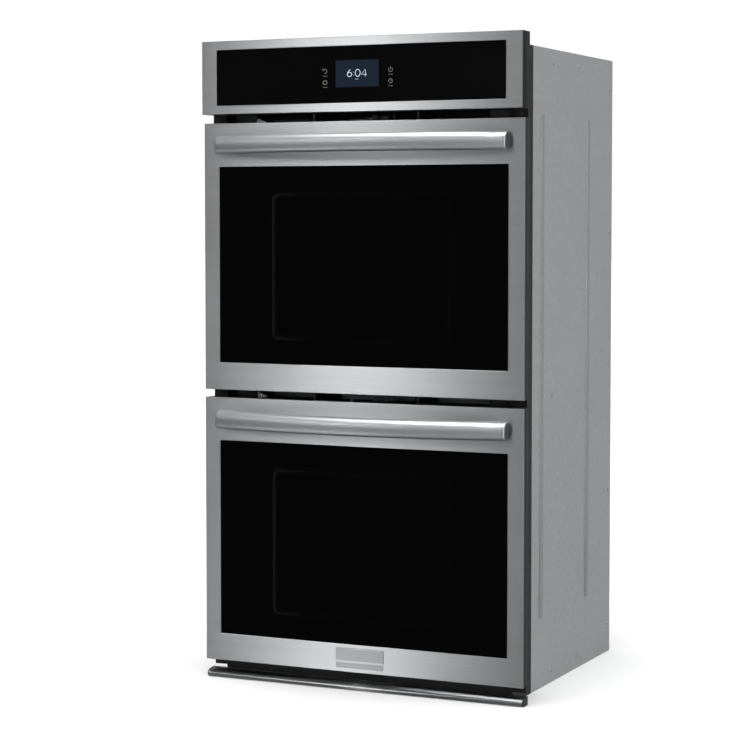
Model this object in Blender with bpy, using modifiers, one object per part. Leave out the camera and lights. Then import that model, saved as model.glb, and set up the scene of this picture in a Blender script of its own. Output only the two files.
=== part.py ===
"""Built-in double wall oven, as separate pieces set on their real joint axes.

Metres, +Z up. The fronts face -Y. The origin is at the bottom centre of the whole oven.
"""

import math

import bmesh
import bpy
from mathutils import Matrix, Vector

# Overall sizes.
WIDTH = 0.686
HEIGHT = 1.280
BODY_WIDTH = 0.622
BODY_DEPTH = 0.575
BODY_HEIGHT = 1.262
DOOR_SET = 0.029
HANDLE_REACH = 0.065
DEPTH = HANDLE_REACH + DOOR_SET + BODY_DEPTH

# Planes along Y: door faces, mounting face, back of the body.
FACE = HANDLE_REACH - DEPTH / 2
FRAME = FACE + DOOR_SET
REAR = FRAME + BODY_DEPTH

# Stock and clearances.
SHEET = 0.0015
THIN = 0.0012
GAP = 0.0003
PAST = 0.004

# Doors. Heights are above the door's lower edge unless the name says otherwise.
DOOR_WIDTH = WIDTH
DOOR_HEIGHT = 0.533
DOOR_BACK = 0.026
DOOR_BOTTOMS = {"lower": 0.0365, "upper": 0.585}
SKIN_RETURN = 0.003
WINDOW_HALF = 0.3095
WINDOW_LOW = 0.055
WINDOW_HIGH = 0.446
INNER_WINDOW_HALF = 0.215
INNER_WINDOW_HEIGHT = 0.287
PLUG_HALF = 0.262
PLUG_OUT = 0.006
GLASS = 0.004
MIDDLE = 0.250

# Door hinges: the pin inside the door's lower edge.
PIN_BACK = 0.014
PIN_HEIGHT = 0.008
PIN_RADIUS = 0.004
ARM_SIDE = 0.296
ARM_HALF = 0.0055
ARM_THICK = 0.003
CHANNEL_LENGTH = 0.178

# Handles.
HANDLE_HALF = 0.311
HANDLE_HEIGHT = 0.036
HANDLE_CENTRE = 0.490
HANDLE_THICK = 0.020
HANDLE_FOOT = 0.030

# Oven cavities.
CAVITY_HALF = 0.274
CAVITY_LOW = 0.040
CAVITY_HIGH = 0.460
CAVITY_DEPTH = 0.470
FIRST_LEDGE = 0.080
LEDGE_PITCH = 0.056
LEDGES = 6
RACK_LEDGES = {"low": 2, "high": 4}
RACK_HALF = 0.266
RACK_WIRE = 0.004
FAN_RADIUS = 0.085
FAN_COVER_HALF = 0.125
FAN_COVER_OUT = 0.040
MOTOR_RADIUS = 0.042
ELEMENT_RADIUS = 0.0033

# Vent ducts, over each door.
DUCT_DEPTH = 0.060
DUCT_DROP = 0.010
DUCT_WALL = 0.001
LATCH_BACK = 0.030
LATCH_REACH = 0.044
PLUNGER_SIDE = -0.234
PLUNGER_RADIUS = 0.0035

# Control panel.
PANEL_BOTTOM = 1.1353
PANEL_OUT = 0.0118
PANEL_HALF = 0.3416
PANEL_GLASS_HALF = 0.3083
PANEL_GLASS_LOW = 1.1526
PANEL_GLASS_HIGH = 1.2623
DISPLAY_HALF = 0.046
DISPLAY_LOW = 1.1825
DISPLAY_HIGH = 1.2345

# Heights of the screws that hold the flanges to the cabinet.
MOUNTING_SCREWS = (0.120, 0.5775, 1.1265)

# Bottom trim.
TRIM_HALF = 0.3425
TRIM_HEIGHT = 0.0163

SIDES = {"left": -1, "right": 1}


def clear_scene():
    """Remove every object of the open scene."""
    for item in list(bpy.data.objects):
        bpy.data.objects.remove(item, do_unlink=True)


def new_collection(name):
    """A collection in the scene's root."""
    group = bpy.data.collections.new(name)
    bpy.context.scene.collection.children.link(group)
    return group


clear_scene()
PARTS = new_collection("wall_oven")
CUTTERS = new_collection("cutters")


def paint(name, colour, roughness, metallic=0.0):
    """A Principled material."""
    material = bpy.data.materials.new(name)
    material.use_nodes = True
    shader = material.node_tree.nodes["Principled BSDF"]
    shader.inputs["Base Color"].default_value = (*colour, 1.0)
    shader.inputs["Roughness"].default_value = roughness
    shader.inputs["Metallic"].default_value = metallic
    material.diffuse_color = (*colour, 1.0)
    return material


FINISHES = {
    "stainless": ((0.46, 0.47, 0.48), 0.30, 1.0),
    "handle_steel": ((0.62, 0.64, 0.66), 0.25, 1.0),
    "black_glass": ((0.006, 0.006, 0.006), 0.05, 0.0),
    "clear_glass": ((0.10, 0.11, 0.11), 0.05, 0.0),
    "display": ((0.02, 0.04, 0.08), 0.15, 0.0),
    "black_paint": ((0.018, 0.018, 0.019), 0.45, 0.0),
    "enamel": ((0.030, 0.034, 0.046), 0.22, 0.0),
    "galvanised": ((0.52, 0.54, 0.55), 0.42, 1.0),
    "chrome_wire": ((0.70, 0.70, 0.70), 0.16, 1.0),
    "element": ((0.045, 0.042, 0.040), 0.60, 0.6),
    "gasket": ((0.10, 0.10, 0.10), 0.95, 0.0),
    "motor": ((0.20, 0.20, 0.21), 0.50, 0.8),
    "board": ((0.02, 0.11, 0.05), 0.50, 0.0),
    "lens": ((0.75, 0.75, 0.70), 0.10, 0.0),
}


def finish(item, kind):
    """Give a piece a material of its own."""
    item.data.materials.clear()
    item.data.materials.append(paint(f"{item.name}_{kind}", *FINISHES[kind]))


def place(item, kind=None):
    """Put a piece in its collection; one without a finish is a hidden tool."""
    group = PARTS if kind else CUTTERS
    group.objects.link(item)
    if kind:
        finish(item, kind)
    else:
        item.hide_render = True
        item.display_type = "WIRE"
    return item


def mesh_object(name, shape, kind=None, origin=(0, 0, 0)):
    """An object from a bmesh set out in world coordinates, with its origin at a chosen point."""
    bmesh.ops.translate(shape, verts=shape.verts, vec=-Vector(origin))
    mesh = bpy.data.meshes.new(name)
    shape.to_mesh(mesh)
    shape.free()
    item = bpy.data.objects.new(name, mesh)
    item.location = origin
    return place(item, kind)


def block(name, low, high, kind=None, origin=None):
    """A box between two corners."""
    low = Vector(low)
    high = Vector(high)
    centre = (low + high) / 2
    shape = bmesh.new()
    bmesh.ops.create_cube(shape, size=1.0)
    bmesh.ops.scale(shape, verts=shape.verts, vec=high - low)
    bmesh.ops.translate(shape, verts=shape.verts, vec=centre)
    return mesh_object(name, shape, kind, centre if origin is None else origin)


def cylinder(name, start, end, radius, kind=None, sides=24, origin=None):
    """A round bar between two points."""
    start = Vector(start)
    end = Vector(end)
    along = end - start
    centre = (start + end) / 2
    turn = along.to_track_quat("Z", "Y").to_matrix().to_4x4()
    shape = bmesh.new()
    bmesh.ops.create_cone(
        shape, cap_ends=True, segments=sides, radius1=radius, radius2=radius, depth=along.length
    )
    bmesh.ops.transform(shape, matrix=Matrix.Translation(centre) @ turn, verts=shape.verts)
    item = mesh_object(name, shape, kind, centre if origin is None else origin)
    item.data.shade_smooth()
    item.data.set_sharp_from_angle(angle=math.radians(40))
    return item


def outline(name, points, thickness, kind=None):
    """A flat outline in XY, thickened evenly along Z, as a mesh."""
    curve = bpy.data.curves.new(name, "CURVE")
    curve.dimensions = "2D"
    curve.fill_mode = "BOTH"
    curve.extrude = thickness / 2
    line = curve.splines.new("POLY")
    line.points.add(len(points) - 1)
    for point, (x, y) in zip(line.points, points):
        point.co = (x, y, 0.0, 1.0)
    line.use_cyclic_u = True
    return as_mesh(curve, kind)


def wire(name, points, radius, kind=None):
    """A round wire along a path."""
    curve = bpy.data.curves.new(name, "CURVE")
    curve.dimensions = "3D"
    curve.bevel_depth = radius
    curve.bevel_resolution = 1
    curve.use_fill_caps = True
    line = curve.splines.new("POLY")
    line.points.add(len(points) - 1)
    for point, place_at in zip(line.points, points):
        point.co = (*place_at, 1.0)
    return as_mesh(curve, kind)


def as_mesh(curve, kind):
    """Turn a curve into a closed mesh object of the same name."""
    name = curve.name
    source = bpy.data.objects.new(f"{name}_path", curve)
    bpy.context.scene.collection.objects.link(source)
    bpy.context.view_layer.update()
    graph = bpy.context.evaluated_depsgraph_get()
    mesh = bpy.data.meshes.new_from_object(source.evaluated_get(graph))
    mesh.name = name
    shape = bmesh.new()
    shape.from_mesh(mesh)
    bmesh.ops.remove_doubles(shape, verts=shape.verts, dist=0.00001)
    bmesh.ops.recalc_face_normals(shape, faces=shape.faces)
    shape.to_mesh(mesh)
    shape.free()
    item = bpy.data.objects.new(name, mesh)
    item.matrix_world = source.matrix_world
    bpy.data.objects.remove(source, do_unlink=True)
    return place(item, kind)


def combine(item, tool, operation):
    """A Boolean that stays on the piece."""
    step = item.modifiers.new(f"{operation.lower()}_{tool.name}", "BOOLEAN")
    step.operation = operation
    step.solver = "EXACT"
    step.object = tool


def cut(item, *tools):
    """Take the tools' shapes away from the piece."""
    for tool in tools:
        combine(item, tool, "DIFFERENCE")


def fuse(item, *tools):
    """Add the tools' shapes to the piece."""
    for tool in tools:
        combine(item, tool, "UNION")


def round_edges(item, width, segments=2, angle=30):
    """Round the edges sharper than an angle."""
    step = item.modifiers.new("round_edges", "BEVEL")
    step.width = width
    step.segments = segments
    step.limit_method = "ANGLE"
    step.angle_limit = math.radians(angle)


def axis_empty(name, position):
    """An empty on a joint axis, which carries the pieces that move with it."""
    empty = bpy.data.objects.new(name, None)
    empty.empty_display_size = 0.03
    empty.location = position
    PARTS.objects.link(empty)
    return empty


def carry(empty, items):
    """Hang pieces on an empty without moving them."""
    for item in items:
        item.parent = empty
        item.matrix_parent_inverse = Matrix.Translation(-empty.location)


# Body ------------------------------------------------------------------------------------------


def build_base_pan():
    """Shallow tray that the oven stands on."""
    half = BODY_WIDTH / 2 - SHEET - GAP
    back = REAR - SHEET - GAP
    top = 0.0375
    pan = block("base_pan", (-half, FRAME + GAP, 0), (half, back, top), "galvanised")
    inside = block(
        "base_pan_inside",
        (SHEET - half, FRAME + GAP + SHEET, SHEET),
        (half - SHEET, back - SHEET, top + PAST),
    )
    cut(pan, inside)


def build_side_panel(side, sign):
    """Side wall of the body, bent out at the front into the mounting flange."""
    inner = sign * (BODY_WIDTH / 2 - SHEET)
    outer = sign * BODY_WIDTH / 2
    edge = sign * (DOOR_WIDTH / 2 - 0.005)
    name = f"side_panel_{side}"
    wall_low = (min(inner, outer), FRAME, 0)
    wall_high = (max(inner, outer), REAR - SHEET - GAP, BODY_HEIGHT)
    wall = block(name, wall_low, wall_high, "black_paint")
    flange = block(
        f"{name}_flange",
        (min(inner, edge), FRAME, 0.022),
        (max(inner, edge), FRAME + SHEET, BODY_HEIGHT),
    )
    fuse(wall, flange)
    for number, height in enumerate(MOUNTING_SCREWS):
        start = (sign * 0.325, FRAME - PAST, height)
        end = (sign * 0.325, FRAME + PAST, height)
        cut(wall, cylinder(f"{name}_screw_{number}", start, end, 0.0025, sides=12))


def build_rear_panel():
    """Back wall with two rows of vent slots."""
    half = BODY_WIDTH / 2
    panel = block("rear_panel", (-half, REAR - SHEET, 0), (half, REAR, BODY_HEIGHT), "galvanised")
    for row, height in enumerate((0.080, 1.190)):
        for column in range(6):
            centre = (column - 2.5) * 0.080
            slot = block(
                f"rear_slot_{row}_{column}",
                (centre - 0.030, REAR - 0.010, height - 0.003),
                (centre + 0.030, REAR + 0.010, height + 0.003),
            )
            cut(panel, slot)


def build_top_cover():
    """Top sheet and the threaded gland where the house wiring enters."""
    half = BODY_WIDTH / 2 - SHEET - GAP
    back = REAR - SHEET - GAP
    centre = (-0.220, REAR - 0.060)
    low = (-half, FRAME + 0.005, BODY_HEIGHT - SHEET)
    cover = block("top_cover", low, (half, back, BODY_HEIGHT), "galvanised")
    hole = cylinder("gland_hole", (*centre, 1.25), (*centre, 1.27), 0.0105)
    cut(cover, hole)
    gland = cylinder(
        "conduit_gland", (*centre, BODY_HEIGHT - 0.012), (*centre, HEIGHT - 0.002), 0.010, "galvanised"
    )
    nut = cylinder(
        "gland_nut", (*centre, BODY_HEIGHT + GAP), (*centre, BODY_HEIGHT + 0.008), 0.016, sides=6
    )
    bore = cylinder("gland_bore", (*centre, 1.24), (*centre, 1.29), 0.0075)
    fuse(gland, nut)
    cut(gland, bore)


def build_divider():
    """Deck between the two ovens, turned down at the front."""
    half = BODY_WIDTH / 2 - SHEET - GAP
    front = FRAME + DUCT_DEPTH + 0.001
    back = REAR - SHEET - GAP
    deck = block("divider_deck", (-half, front, 0.5870), (half, back, 0.5885), "galvanised")
    lip = block("divider_lip", (-half, front, 0.5600), (half, front + SHEET, 0.5880))
    fuse(deck, lip)


# Ovens -----------------------------------------------------------------------------------------


def rack_height(base, ledge):
    """Height of the middle of a rack that rests on a ledge."""
    return base + FIRST_LEDGE + LEDGE_PITCH * ledge


def build_liner(name, base):
    """Enamelled oven box with its front frame, rack ledges and the holes for what passes through."""
    low = base + CAVITY_LOW
    high = base + CAVITY_HIGH
    back = FRAME + CAVITY_DEPTH
    frame_half = BODY_WIDTH / 2 - SHEET - 0.001
    outer = CAVITY_HALF + SHEET
    liner = block(
        f"cavity_liner_{name}", (-outer, FRAME, low - SHEET), (outer, back + SHEET, high + SHEET), "enamel"
    )
    front = block(
        f"front_frame_{name}",
        (-frame_half, FRAME, base + 0.0015),
        (frame_half, FRAME + SHEET, base + DOOR_HEIGHT - DUCT_DROP - GAP),
    )
    inside = block(
        f"cavity_{name}", (-CAVITY_HALF, FRAME - PAST, low), (CAVITY_HALF, back, high)
    )
    fuse(liner, front)
    cut(liner, inside)
    for sign in SIDES.values():
        for ledge in range(LEDGES):
            top = rack_height(base, ledge) - RACK_WIRE / 2 - GAP
            near = sign * (CAVITY_HALF - 0.012)
            far = sign * (CAVITY_HALF + SHEET / 2)
            ridge = block(
                f"ledge_{name}_{sign}_{ledge}",
                (min(near, far), FRAME + 0.016, top - 0.004),
                (max(near, far), FRAME + 0.424, top),
            )
            fuse(liner, ridge)
        slot = block(
            f"arm_slot_{name}_{sign}",
            (sign * ARM_SIDE - 0.0035, FRAME - PAST, base),
            (sign * ARM_SIDE + 0.0035, FRAME + PAST, base + 0.0145),
        )
        terminal = cylinder(
            f"terminal_hole_{name}_{sign}",
            (sign * 0.035, back - PAST, base + 0.430),
            (sign * 0.035, back + PAST, base + 0.430),
            ELEMENT_RADIUS + 0.001,
            sides=12,
        )
        cut(liner, slot, terminal)
    shaft_hole = cylinder(
        f"shaft_hole_{name}", (0, back - PAST, base + MIDDLE), (0, back + PAST, base + MIDDLE), 0.006
    )
    cut(liner, shaft_hole)


def build_gasket(name, base):
    """Woven door seal around the oven mouth."""
    half = CAVITY_HALF + 0.015
    seal = block(
        f"door_gasket_{name}",
        (-half, FACE + DOOR_BACK + GAP, base + CAVITY_LOW - 0.014),
        (half, FRAME - GAP, base + CAVITY_HIGH + 0.014),
        "gasket",
    )
    mouth = block(
        f"gasket_mouth_{name}",
        (-CAVITY_HALF - 0.004, FACE, base + CAVITY_LOW - 0.004),
        (CAVITY_HALF + 0.004, FRAME + PAST, base + CAVITY_HIGH + 0.004),
    )
    cut(seal, mouth)


def build_rack(name, base, level):
    """Wire oven rack, one welded piece."""
    front = FRAME + 0.014
    back = FRAME + 0.418
    height = rack_height(base, RACK_LEDGES[level])
    shape = bmesh.new()
    bmesh.ops.create_grid(shape, x_segments=13, y_segments=2, size=1.0)
    size = (RACK_HALF, (back - front) / 2, 1.0)
    bmesh.ops.scale(shape, verts=shape.verts, vec=size)
    bmesh.ops.translate(shape, verts=shape.verts, vec=(0, (front + back) / 2, height))
    rack = mesh_object(f"rack_{name}_{level}", shape, "chrome_wire", (0, front, height))
    wires = rack.modifiers.new("wires", "WIREFRAME")
    wires.thickness = RACK_WIRE
    wires.use_boundary = True
    wires.use_replace = True
    wires.use_even_offset = True


def element_path(height, start):
    """Path of a tubular heating element, out from one terminal and back to the other."""
    right = [(0.065, 0.070), (0.065, 0.360), (0.140, 0.360), (0.140, 0.070)]
    right += [(0.215, 0.070), (0.215, 0.412), (0.035, 0.412), (0.035, start)]
    left = [(-x, y) for x, y in reversed(right)]
    return [(x, FRAME + y, height) for x, y in left + right]


def build_elements(name, base):
    """Broil element under the oven's roof and bake element below its floor."""
    tail = CAVITY_DEPTH + 0.020
    wire(f"broil_element_{name}", element_path(base + 0.430, tail), ELEMENT_RADIUS, "element")
    below = base + CAVITY_LOW - SHEET - 0.012
    wire(f"bake_element_{name}", element_path(below, tail), ELEMENT_RADIUS, "element")


def build_fan(name, base):
    """Convection fan: slotted cover, blade with its shaft, and the motor behind the liner."""
    height = base + MIDDLE
    back = FRAME + CAVITY_DEPTH
    front = back - FAN_COVER_OUT
    half = FAN_COVER_HALF
    cover = block(
        f"fan_cover_{name}", (-half, front, height - half), (half, back - GAP, height + half), "enamel"
    )
    inside = block(
        f"fan_cover_inside_{name}",
        (THIN - half, front + THIN, height - half + THIN),
        (half - THIN, back + PAST, height + half - THIN),
    )
    intake = cylinder(
        f"fan_intake_{name}", (0, front - PAST, height), (0, front + PAST, height), 0.055, sides=32
    )
    side_slot = block(
        f"fan_side_slot_{name}",
        (-half - PAST, front + 0.016, height - 0.085),
        (half + PAST, front + 0.028, height + 0.085),
    )
    top_slot = block(
        f"fan_top_slot_{name}",
        (-0.085, front + 0.016, height - half - PAST),
        (0.085, front + 0.028, height + half + PAST),
    )
    cut(cover, inside, intake, side_slot, top_slot)

    axis = (0, back, height)
    blade = cylinder(
        f"fan_blade_{name}",
        (0, back - 0.0200, height),
        (0, back - 0.0185, height),
        FAN_RADIUS,
        "galvanised",
        32,
        axis,
    )
    hub = cylinder(
        f"fan_hub_{name}", (0, back - 0.034, height), (0, back - 0.019, height), 0.012, sides=16
    )
    shaft = cylinder(
        f"fan_shaft_{name}", (0, back - 0.020, height), (0, back + SHEET, height), 0.004, sides=16
    )
    fuse(blade, hub, shaft)
    for turn in range(6):
        paddle = block(
            f"fan_paddle_{name}_{turn}",
            (0.030, -0.035, -0.0007),
            (0.080, -0.0193, 0.0007),
            origin=(0, 0, 0),
        )
        paddle.location = axis
        paddle.rotation_euler = (0, math.radians(60 * turn + 15), 0)
        fuse(blade, paddle)

    start = back + SHEET + 2 * GAP
    motor = cylinder(
        f"fan_motor_{name}", (0, start, height), (0, start + 0.055, height), MOTOR_RADIUS, "motor", 24
    )
    bracket = block(
        f"fan_bracket_{name}", (-0.070, start, height - 0.012), (0.070, start + 0.002, height + 0.012)
    )
    fuse(motor, bracket)
    return blade, axis


def build_lamp_and_probe(name, base):
    """Oven lamp lens and the temperature probe, both on the back wall."""
    back = FRAME + CAVITY_DEPTH - GAP
    height = base + 0.405
    lens = cylinder(f"oven_lamp_{name}", (-0.200, back - 0.018, height), (-0.200, back, height), 0.024, "lens")
    round_edges(lens, 0.006)
    probe = cylinder(
        f"temperature_probe_{name}", (0.200, back - 0.090, height), (0.200, back, height), 0.003, "motor", 12
    )
    foot = block(
        f"probe_foot_{name}", (0.188, back - 0.002, height - 0.008), (0.212, back, height + 0.008)
    )
    fuse(probe, foot)


def build_duct(name, base, ceiling):
    """Vent duct over a door, split in three, with the latch post and the light switch body in it."""
    top = base + DOOR_HEIGHT
    floor = top - DUCT_DROP
    half = BODY_WIDTH / 2 - SHEET - 0.001
    back = FRAME + DUCT_DEPTH
    duct = block(f"vent_duct_{name}", (-half, FRAME, floor), (half, back, ceiling), "black_paint")
    split = 0.113
    edges = (-half, -split, split, half)
    for bay in range(3):
        inside = block(
            f"duct_bay_{name}_{bay}",
            (edges[bay] + DUCT_WALL, FRAME - PAST, floor + DUCT_WALL),
            (edges[bay + 1] - DUCT_WALL, back - DUCT_WALL, ceiling - DUCT_WALL),
        )
        slot_centre = (edges[bay] + edges[bay + 1]) / 2
        slot = block(
            f"duct_slot_{name}_{bay}",
            (slot_centre - 0.080, back - PAST, floor + 0.008),
            (slot_centre + 0.080, back + PAST, floor + 0.018),
        )
        cut(duct, inside, slot)

    post = cylinder(
        f"latch_post_{name}",
        (0, FRAME + LATCH_BACK, floor + DUCT_WALL / 2),
        (0, FRAME + LATCH_BACK, top + 0.0032),
        0.004,
        sides=12,
    )
    switch = block(
        f"switch_body_{name}",
        (PLUNGER_SIDE - 0.011, FRAME + 0.014, floor + DUCT_WALL / 2),
        (PLUNGER_SIDE + 0.011, FRAME + 0.044, top + 0.006),
    )
    bore = cylinder(
        f"switch_bore_{name}",
        (PLUNGER_SIDE, FRAME + 0.010, top - 0.002),
        (PLUNGER_SIDE, FRAME + 0.048, top - 0.002),
        PLUNGER_RADIUS + GAP,
        sides=12,
    )
    fuse(duct, post, switch)
    cut(duct, bore)


def build_latch(name, base):
    """Door latch: a flat arm on a post, with a tooth that swings into the door's top edge."""
    top = base + DOOR_HEIGHT
    axis = (0, FRAME + LATCH_BACK, top + 0.0035)
    arm = block(
        f"latch_hook_{name}",
        (-LATCH_REACH - 0.003, axis[1] - 0.004, axis[2]),
        (0.002, axis[1] + 0.004, axis[2] + 0.002),
        "galvanised",
        axis,
    )
    boss = cylinder(f"latch_boss_{name}", axis, (axis[0], axis[1], axis[2] + 0.004), 0.009, sides=16)
    tooth = block(
        f"latch_tooth_{name}",
        (-LATCH_REACH - 0.002, axis[1] - 0.0025, top - 0.005),
        (-LATCH_REACH + 0.002, axis[1] + 0.0025, axis[2] + 0.001),
    )
    fuse(arm, boss, tooth)
    return arm, axis


def build_plunger(name, base):
    """Light switch plunger, held in by the closed door."""
    height = base + DOOR_HEIGHT - 0.002
    tip = FACE + DOOR_BACK + GAP
    start = (PLUNGER_SIDE, tip, height)
    plunger = cylinder(
        f"switch_plunger_{name}", start, (PLUNGER_SIDE, FRAME + 0.036, height), PLUNGER_RADIUS, "lens", 12, start
    )
    return plunger, start


# Doors -----------------------------------------------------------------------------------------


def build_hinge_arm(name, base, side, sign):
    """Fixed half of a door hinge: an arm with the pin, hooked into the front frame."""
    middle = sign * ARM_SIDE
    pin_y = FACE + PIN_BACK
    pin_z = base + PIN_HEIGHT
    arm = block(
        f"hinge_arm_{name}_{side}",
        (middle - ARM_THICK / 2, pin_y, pin_z - ARM_HALF),
        (middle + ARM_THICK / 2, FRAME + 0.050, pin_z + ARM_HALF),
        "galvanised",
        (middle, pin_y, pin_z),
    )
    eye = cylinder(
        f"arm_eye_{name}_{side}",
        (middle - ARM_THICK / 2, pin_y, pin_z),
        (middle + ARM_THICK / 2, pin_y, pin_z),
        ARM_HALF,
    )
    pin = cylinder(
        f"arm_pin_{name}_{side}",
        (middle - 0.0065, pin_y, pin_z),
        (middle + 0.0065, pin_y, pin_z),
        PIN_RADIUS,
        sides=16,
    )
    plate = block(
        f"arm_plate_{name}_{side}",
        (middle - 0.010, FRAME + SHEET + GAP, base + 0.0115),
        (middle + 0.010, FRAME + SHEET + 0.0023, base + 0.060),
    )
    fuse(arm, eye, pin, plate)


def build_hinge_channel(name, base, side, sign):
    """Moving half of a door hinge: a channel inside the door that turns on the pin."""
    middle = sign * ARM_SIDE
    low = base + 0.002
    high = base + CHANNEL_LENGTH
    wall = 0.002
    half = 0.0035 + wall
    channel = block(
        f"hinge_channel_{name}_{side}",
        (middle - half, FACE + 0.0058, low),
        (middle + half, FACE + 0.0240, high),
        "galvanised",
    )
    inside = block(
        f"channel_inside_{name}_{side}",
        (middle - 0.0035, FACE + 0.0073, low - PAST),
        (middle + 0.0035, FACE + 0.0300, high - wall),
    )
    hole = cylinder(
        f"channel_hole_{name}_{side}",
        (middle - 0.010, FACE + PIN_BACK, base + PIN_HEIGHT),
        (middle + 0.010, FACE + PIN_BACK, base + PIN_HEIGHT),
        PIN_RADIUS + GAP,
        sides=16,
    )
    cut(channel, inside, hole)
    return channel


def build_door_skin(name, base):
    """Stainless front pan with the window opening."""
    half = DOOR_WIDTH / 2
    wall = 0.001
    skin = block(
        f"door_skin_{name}", (-half, FACE, base), (half, FACE + SKIN_RETURN, base + DOOR_HEIGHT), "stainless"
    )
    inside = block(
        f"skin_inside_{name}",
        (wall - half, FACE + wall, base + wall),
        (half - wall, FACE + PAST, base + DOOR_HEIGHT - wall),
    )
    window = block(
        f"skin_window_{name}",
        (-WINDOW_HALF, FACE - PAST, base + WINDOW_LOW),
        (WINDOW_HALF, FACE + PAST, base + WINDOW_HIGH),
    )
    cut(skin, inside, window)
    return skin


def build_door_liner(name, base):
    """Painted inner pan of the door: its sides, its back, and the raised plug with the inner window."""
    half = DOOR_WIDTH / 2 - 0.0005
    front = FACE + SKIN_RETURN + GAP
    back = FACE + DOOR_BACK
    low = base + 0.0005
    high = base + DOOR_HEIGHT - 0.0005
    plug_low = base + CAVITY_LOW + 0.015
    plug_high = base + CAVITY_HIGH - 0.015
    centre = base + MIDDLE
    liner = block(f"door_liner_{name}", (-half, front, low), (half, back, high), "black_paint")
    plug = block(
        f"plug_{name}",
        (-PLUG_HALF, back - THIN, plug_low),
        (PLUG_HALF, back + PLUG_OUT, plug_high),
    )
    inside = block(
        f"liner_inside_{name}",
        (THIN - half, front - PAST, low + THIN),
        (half - THIN, back - THIN, high - THIN),
    )
    plug_inside = block(
        f"plug_inside_{name}",
        (THIN - PLUG_HALF, back - 2 * THIN, plug_low + THIN),
        (PLUG_HALF - THIN, back + PLUG_OUT - THIN, plug_high - THIN),
    )
    window = block(
        f"liner_window_{name}",
        (-INNER_WINDOW_HALF, back - PAST, centre - INNER_WINDOW_HEIGHT / 2),
        (INNER_WINDOW_HALF, back + 0.020, centre + INNER_WINDOW_HEIGHT / 2),
    )
    fuse(liner, plug)
    cut(liner, inside, plug_inside, window)
    for sign in SIDES.values():
        notch = block(
            f"arm_notch_{name}_{sign}",
            (sign * ARM_SIDE - 0.0035, FACE + 0.0065, base - PAST),
            (sign * ARM_SIDE + 0.0035, back + PAST, base + 0.0155),
        )
        cut(liner, notch)
    top = base + DOOR_HEIGHT
    entry = block(f"latch_entry_{name}", (-0.037, FACE + 0.009, top - 0.008), (-0.019, back + PAST, top + PAST))
    keep = block(
        f"latch_keep_{name}", (-0.020, FACE + 0.009, top - 0.008), (0.008, back - THIN, top + PAST)
    )
    cut(liner, entry, keep)
    return liner


def build_door_glasses(name, base):
    """Outer black-printed pane behind the skin and the clear inner pane in the plug."""
    lap = 0.0065
    front = FACE + 0.001 + GAP
    outer = block(
        f"door_glass_{name}",
        (-WINDOW_HALF - lap, front, base + WINDOW_LOW - lap),
        (WINDOW_HALF + lap, front + GLASS, base + WINDOW_HIGH + lap),
        "black_glass",
    )
    back = FACE + DOOR_BACK + PLUG_OUT - THIN - GAP
    half = INNER_WINDOW_HALF + 0.012
    height = INNER_WINDOW_HEIGHT / 2 + 0.012
    inner = block(
        f"inner_glass_{name}",
        (-half, back - GLASS, base + MIDDLE - height),
        (half, back, base + MIDDLE + height),
        "clear_glass",
    )
    return outer, inner


def handle_outline():
    """Bowed bar seen from above: a deep arc in front, a shallower one behind, flat feet at the ends."""
    bow = HANDLE_REACH - HANDLE_THICK
    radius = (HANDLE_HALF**2 + bow**2) / (2 * bow)
    steps = 16

    def arc(half, front):
        """Points on an arc of the bar's radius whose middle stands at a distance ahead of the door."""
        points = []
        for step in range(steps + 1):
            x = half * (2 * step / steps - 1)
            drop = radius - math.sqrt(radius**2 - x**2)
            points.append((x, FACE - front + drop))
        return points

    inner_half = HANDLE_HALF - HANDLE_FOOT
    front_arc = arc(HANDLE_HALF, HANDLE_REACH)
    back_arc = arc(inner_half, HANDLE_REACH - HANDLE_THICK)
    foot = FACE - GAP
    right_foot = [(HANDLE_HALF, foot), (inner_half, foot)]
    left_foot = [(-inner_half, foot), (-HANDLE_HALF, foot)]
    return front_arc + right_foot + back_arc[::-1] + left_foot


def build_handle(name, base):
    """Bowed handle bar with its feet."""
    handle = outline(f"handle_{name}", handle_outline(), HANDLE_HEIGHT, "handle_steel")
    handle.location.z = base + HANDLE_CENTRE
    round_edges(handle, 0.005, 2, 40)
    return handle


def build_door(name, base):
    """Everything that swings with one door."""
    axis = (0, FACE + PIN_BACK, base + PIN_HEIGHT)
    pieces = [build_door_skin(name, base), build_door_liner(name, base), build_handle(name, base)]
    pieces += build_door_glasses(name, base)
    for side, sign in SIDES.items():
        build_hinge_arm(name, base, side, sign)
        pieces.append(build_hinge_channel(name, base, side, sign))
    carry(axis_empty(f"door_axis_{name}", axis), pieces)


# Controls, blower and trims ----------------------------------------------------------------------


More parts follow.
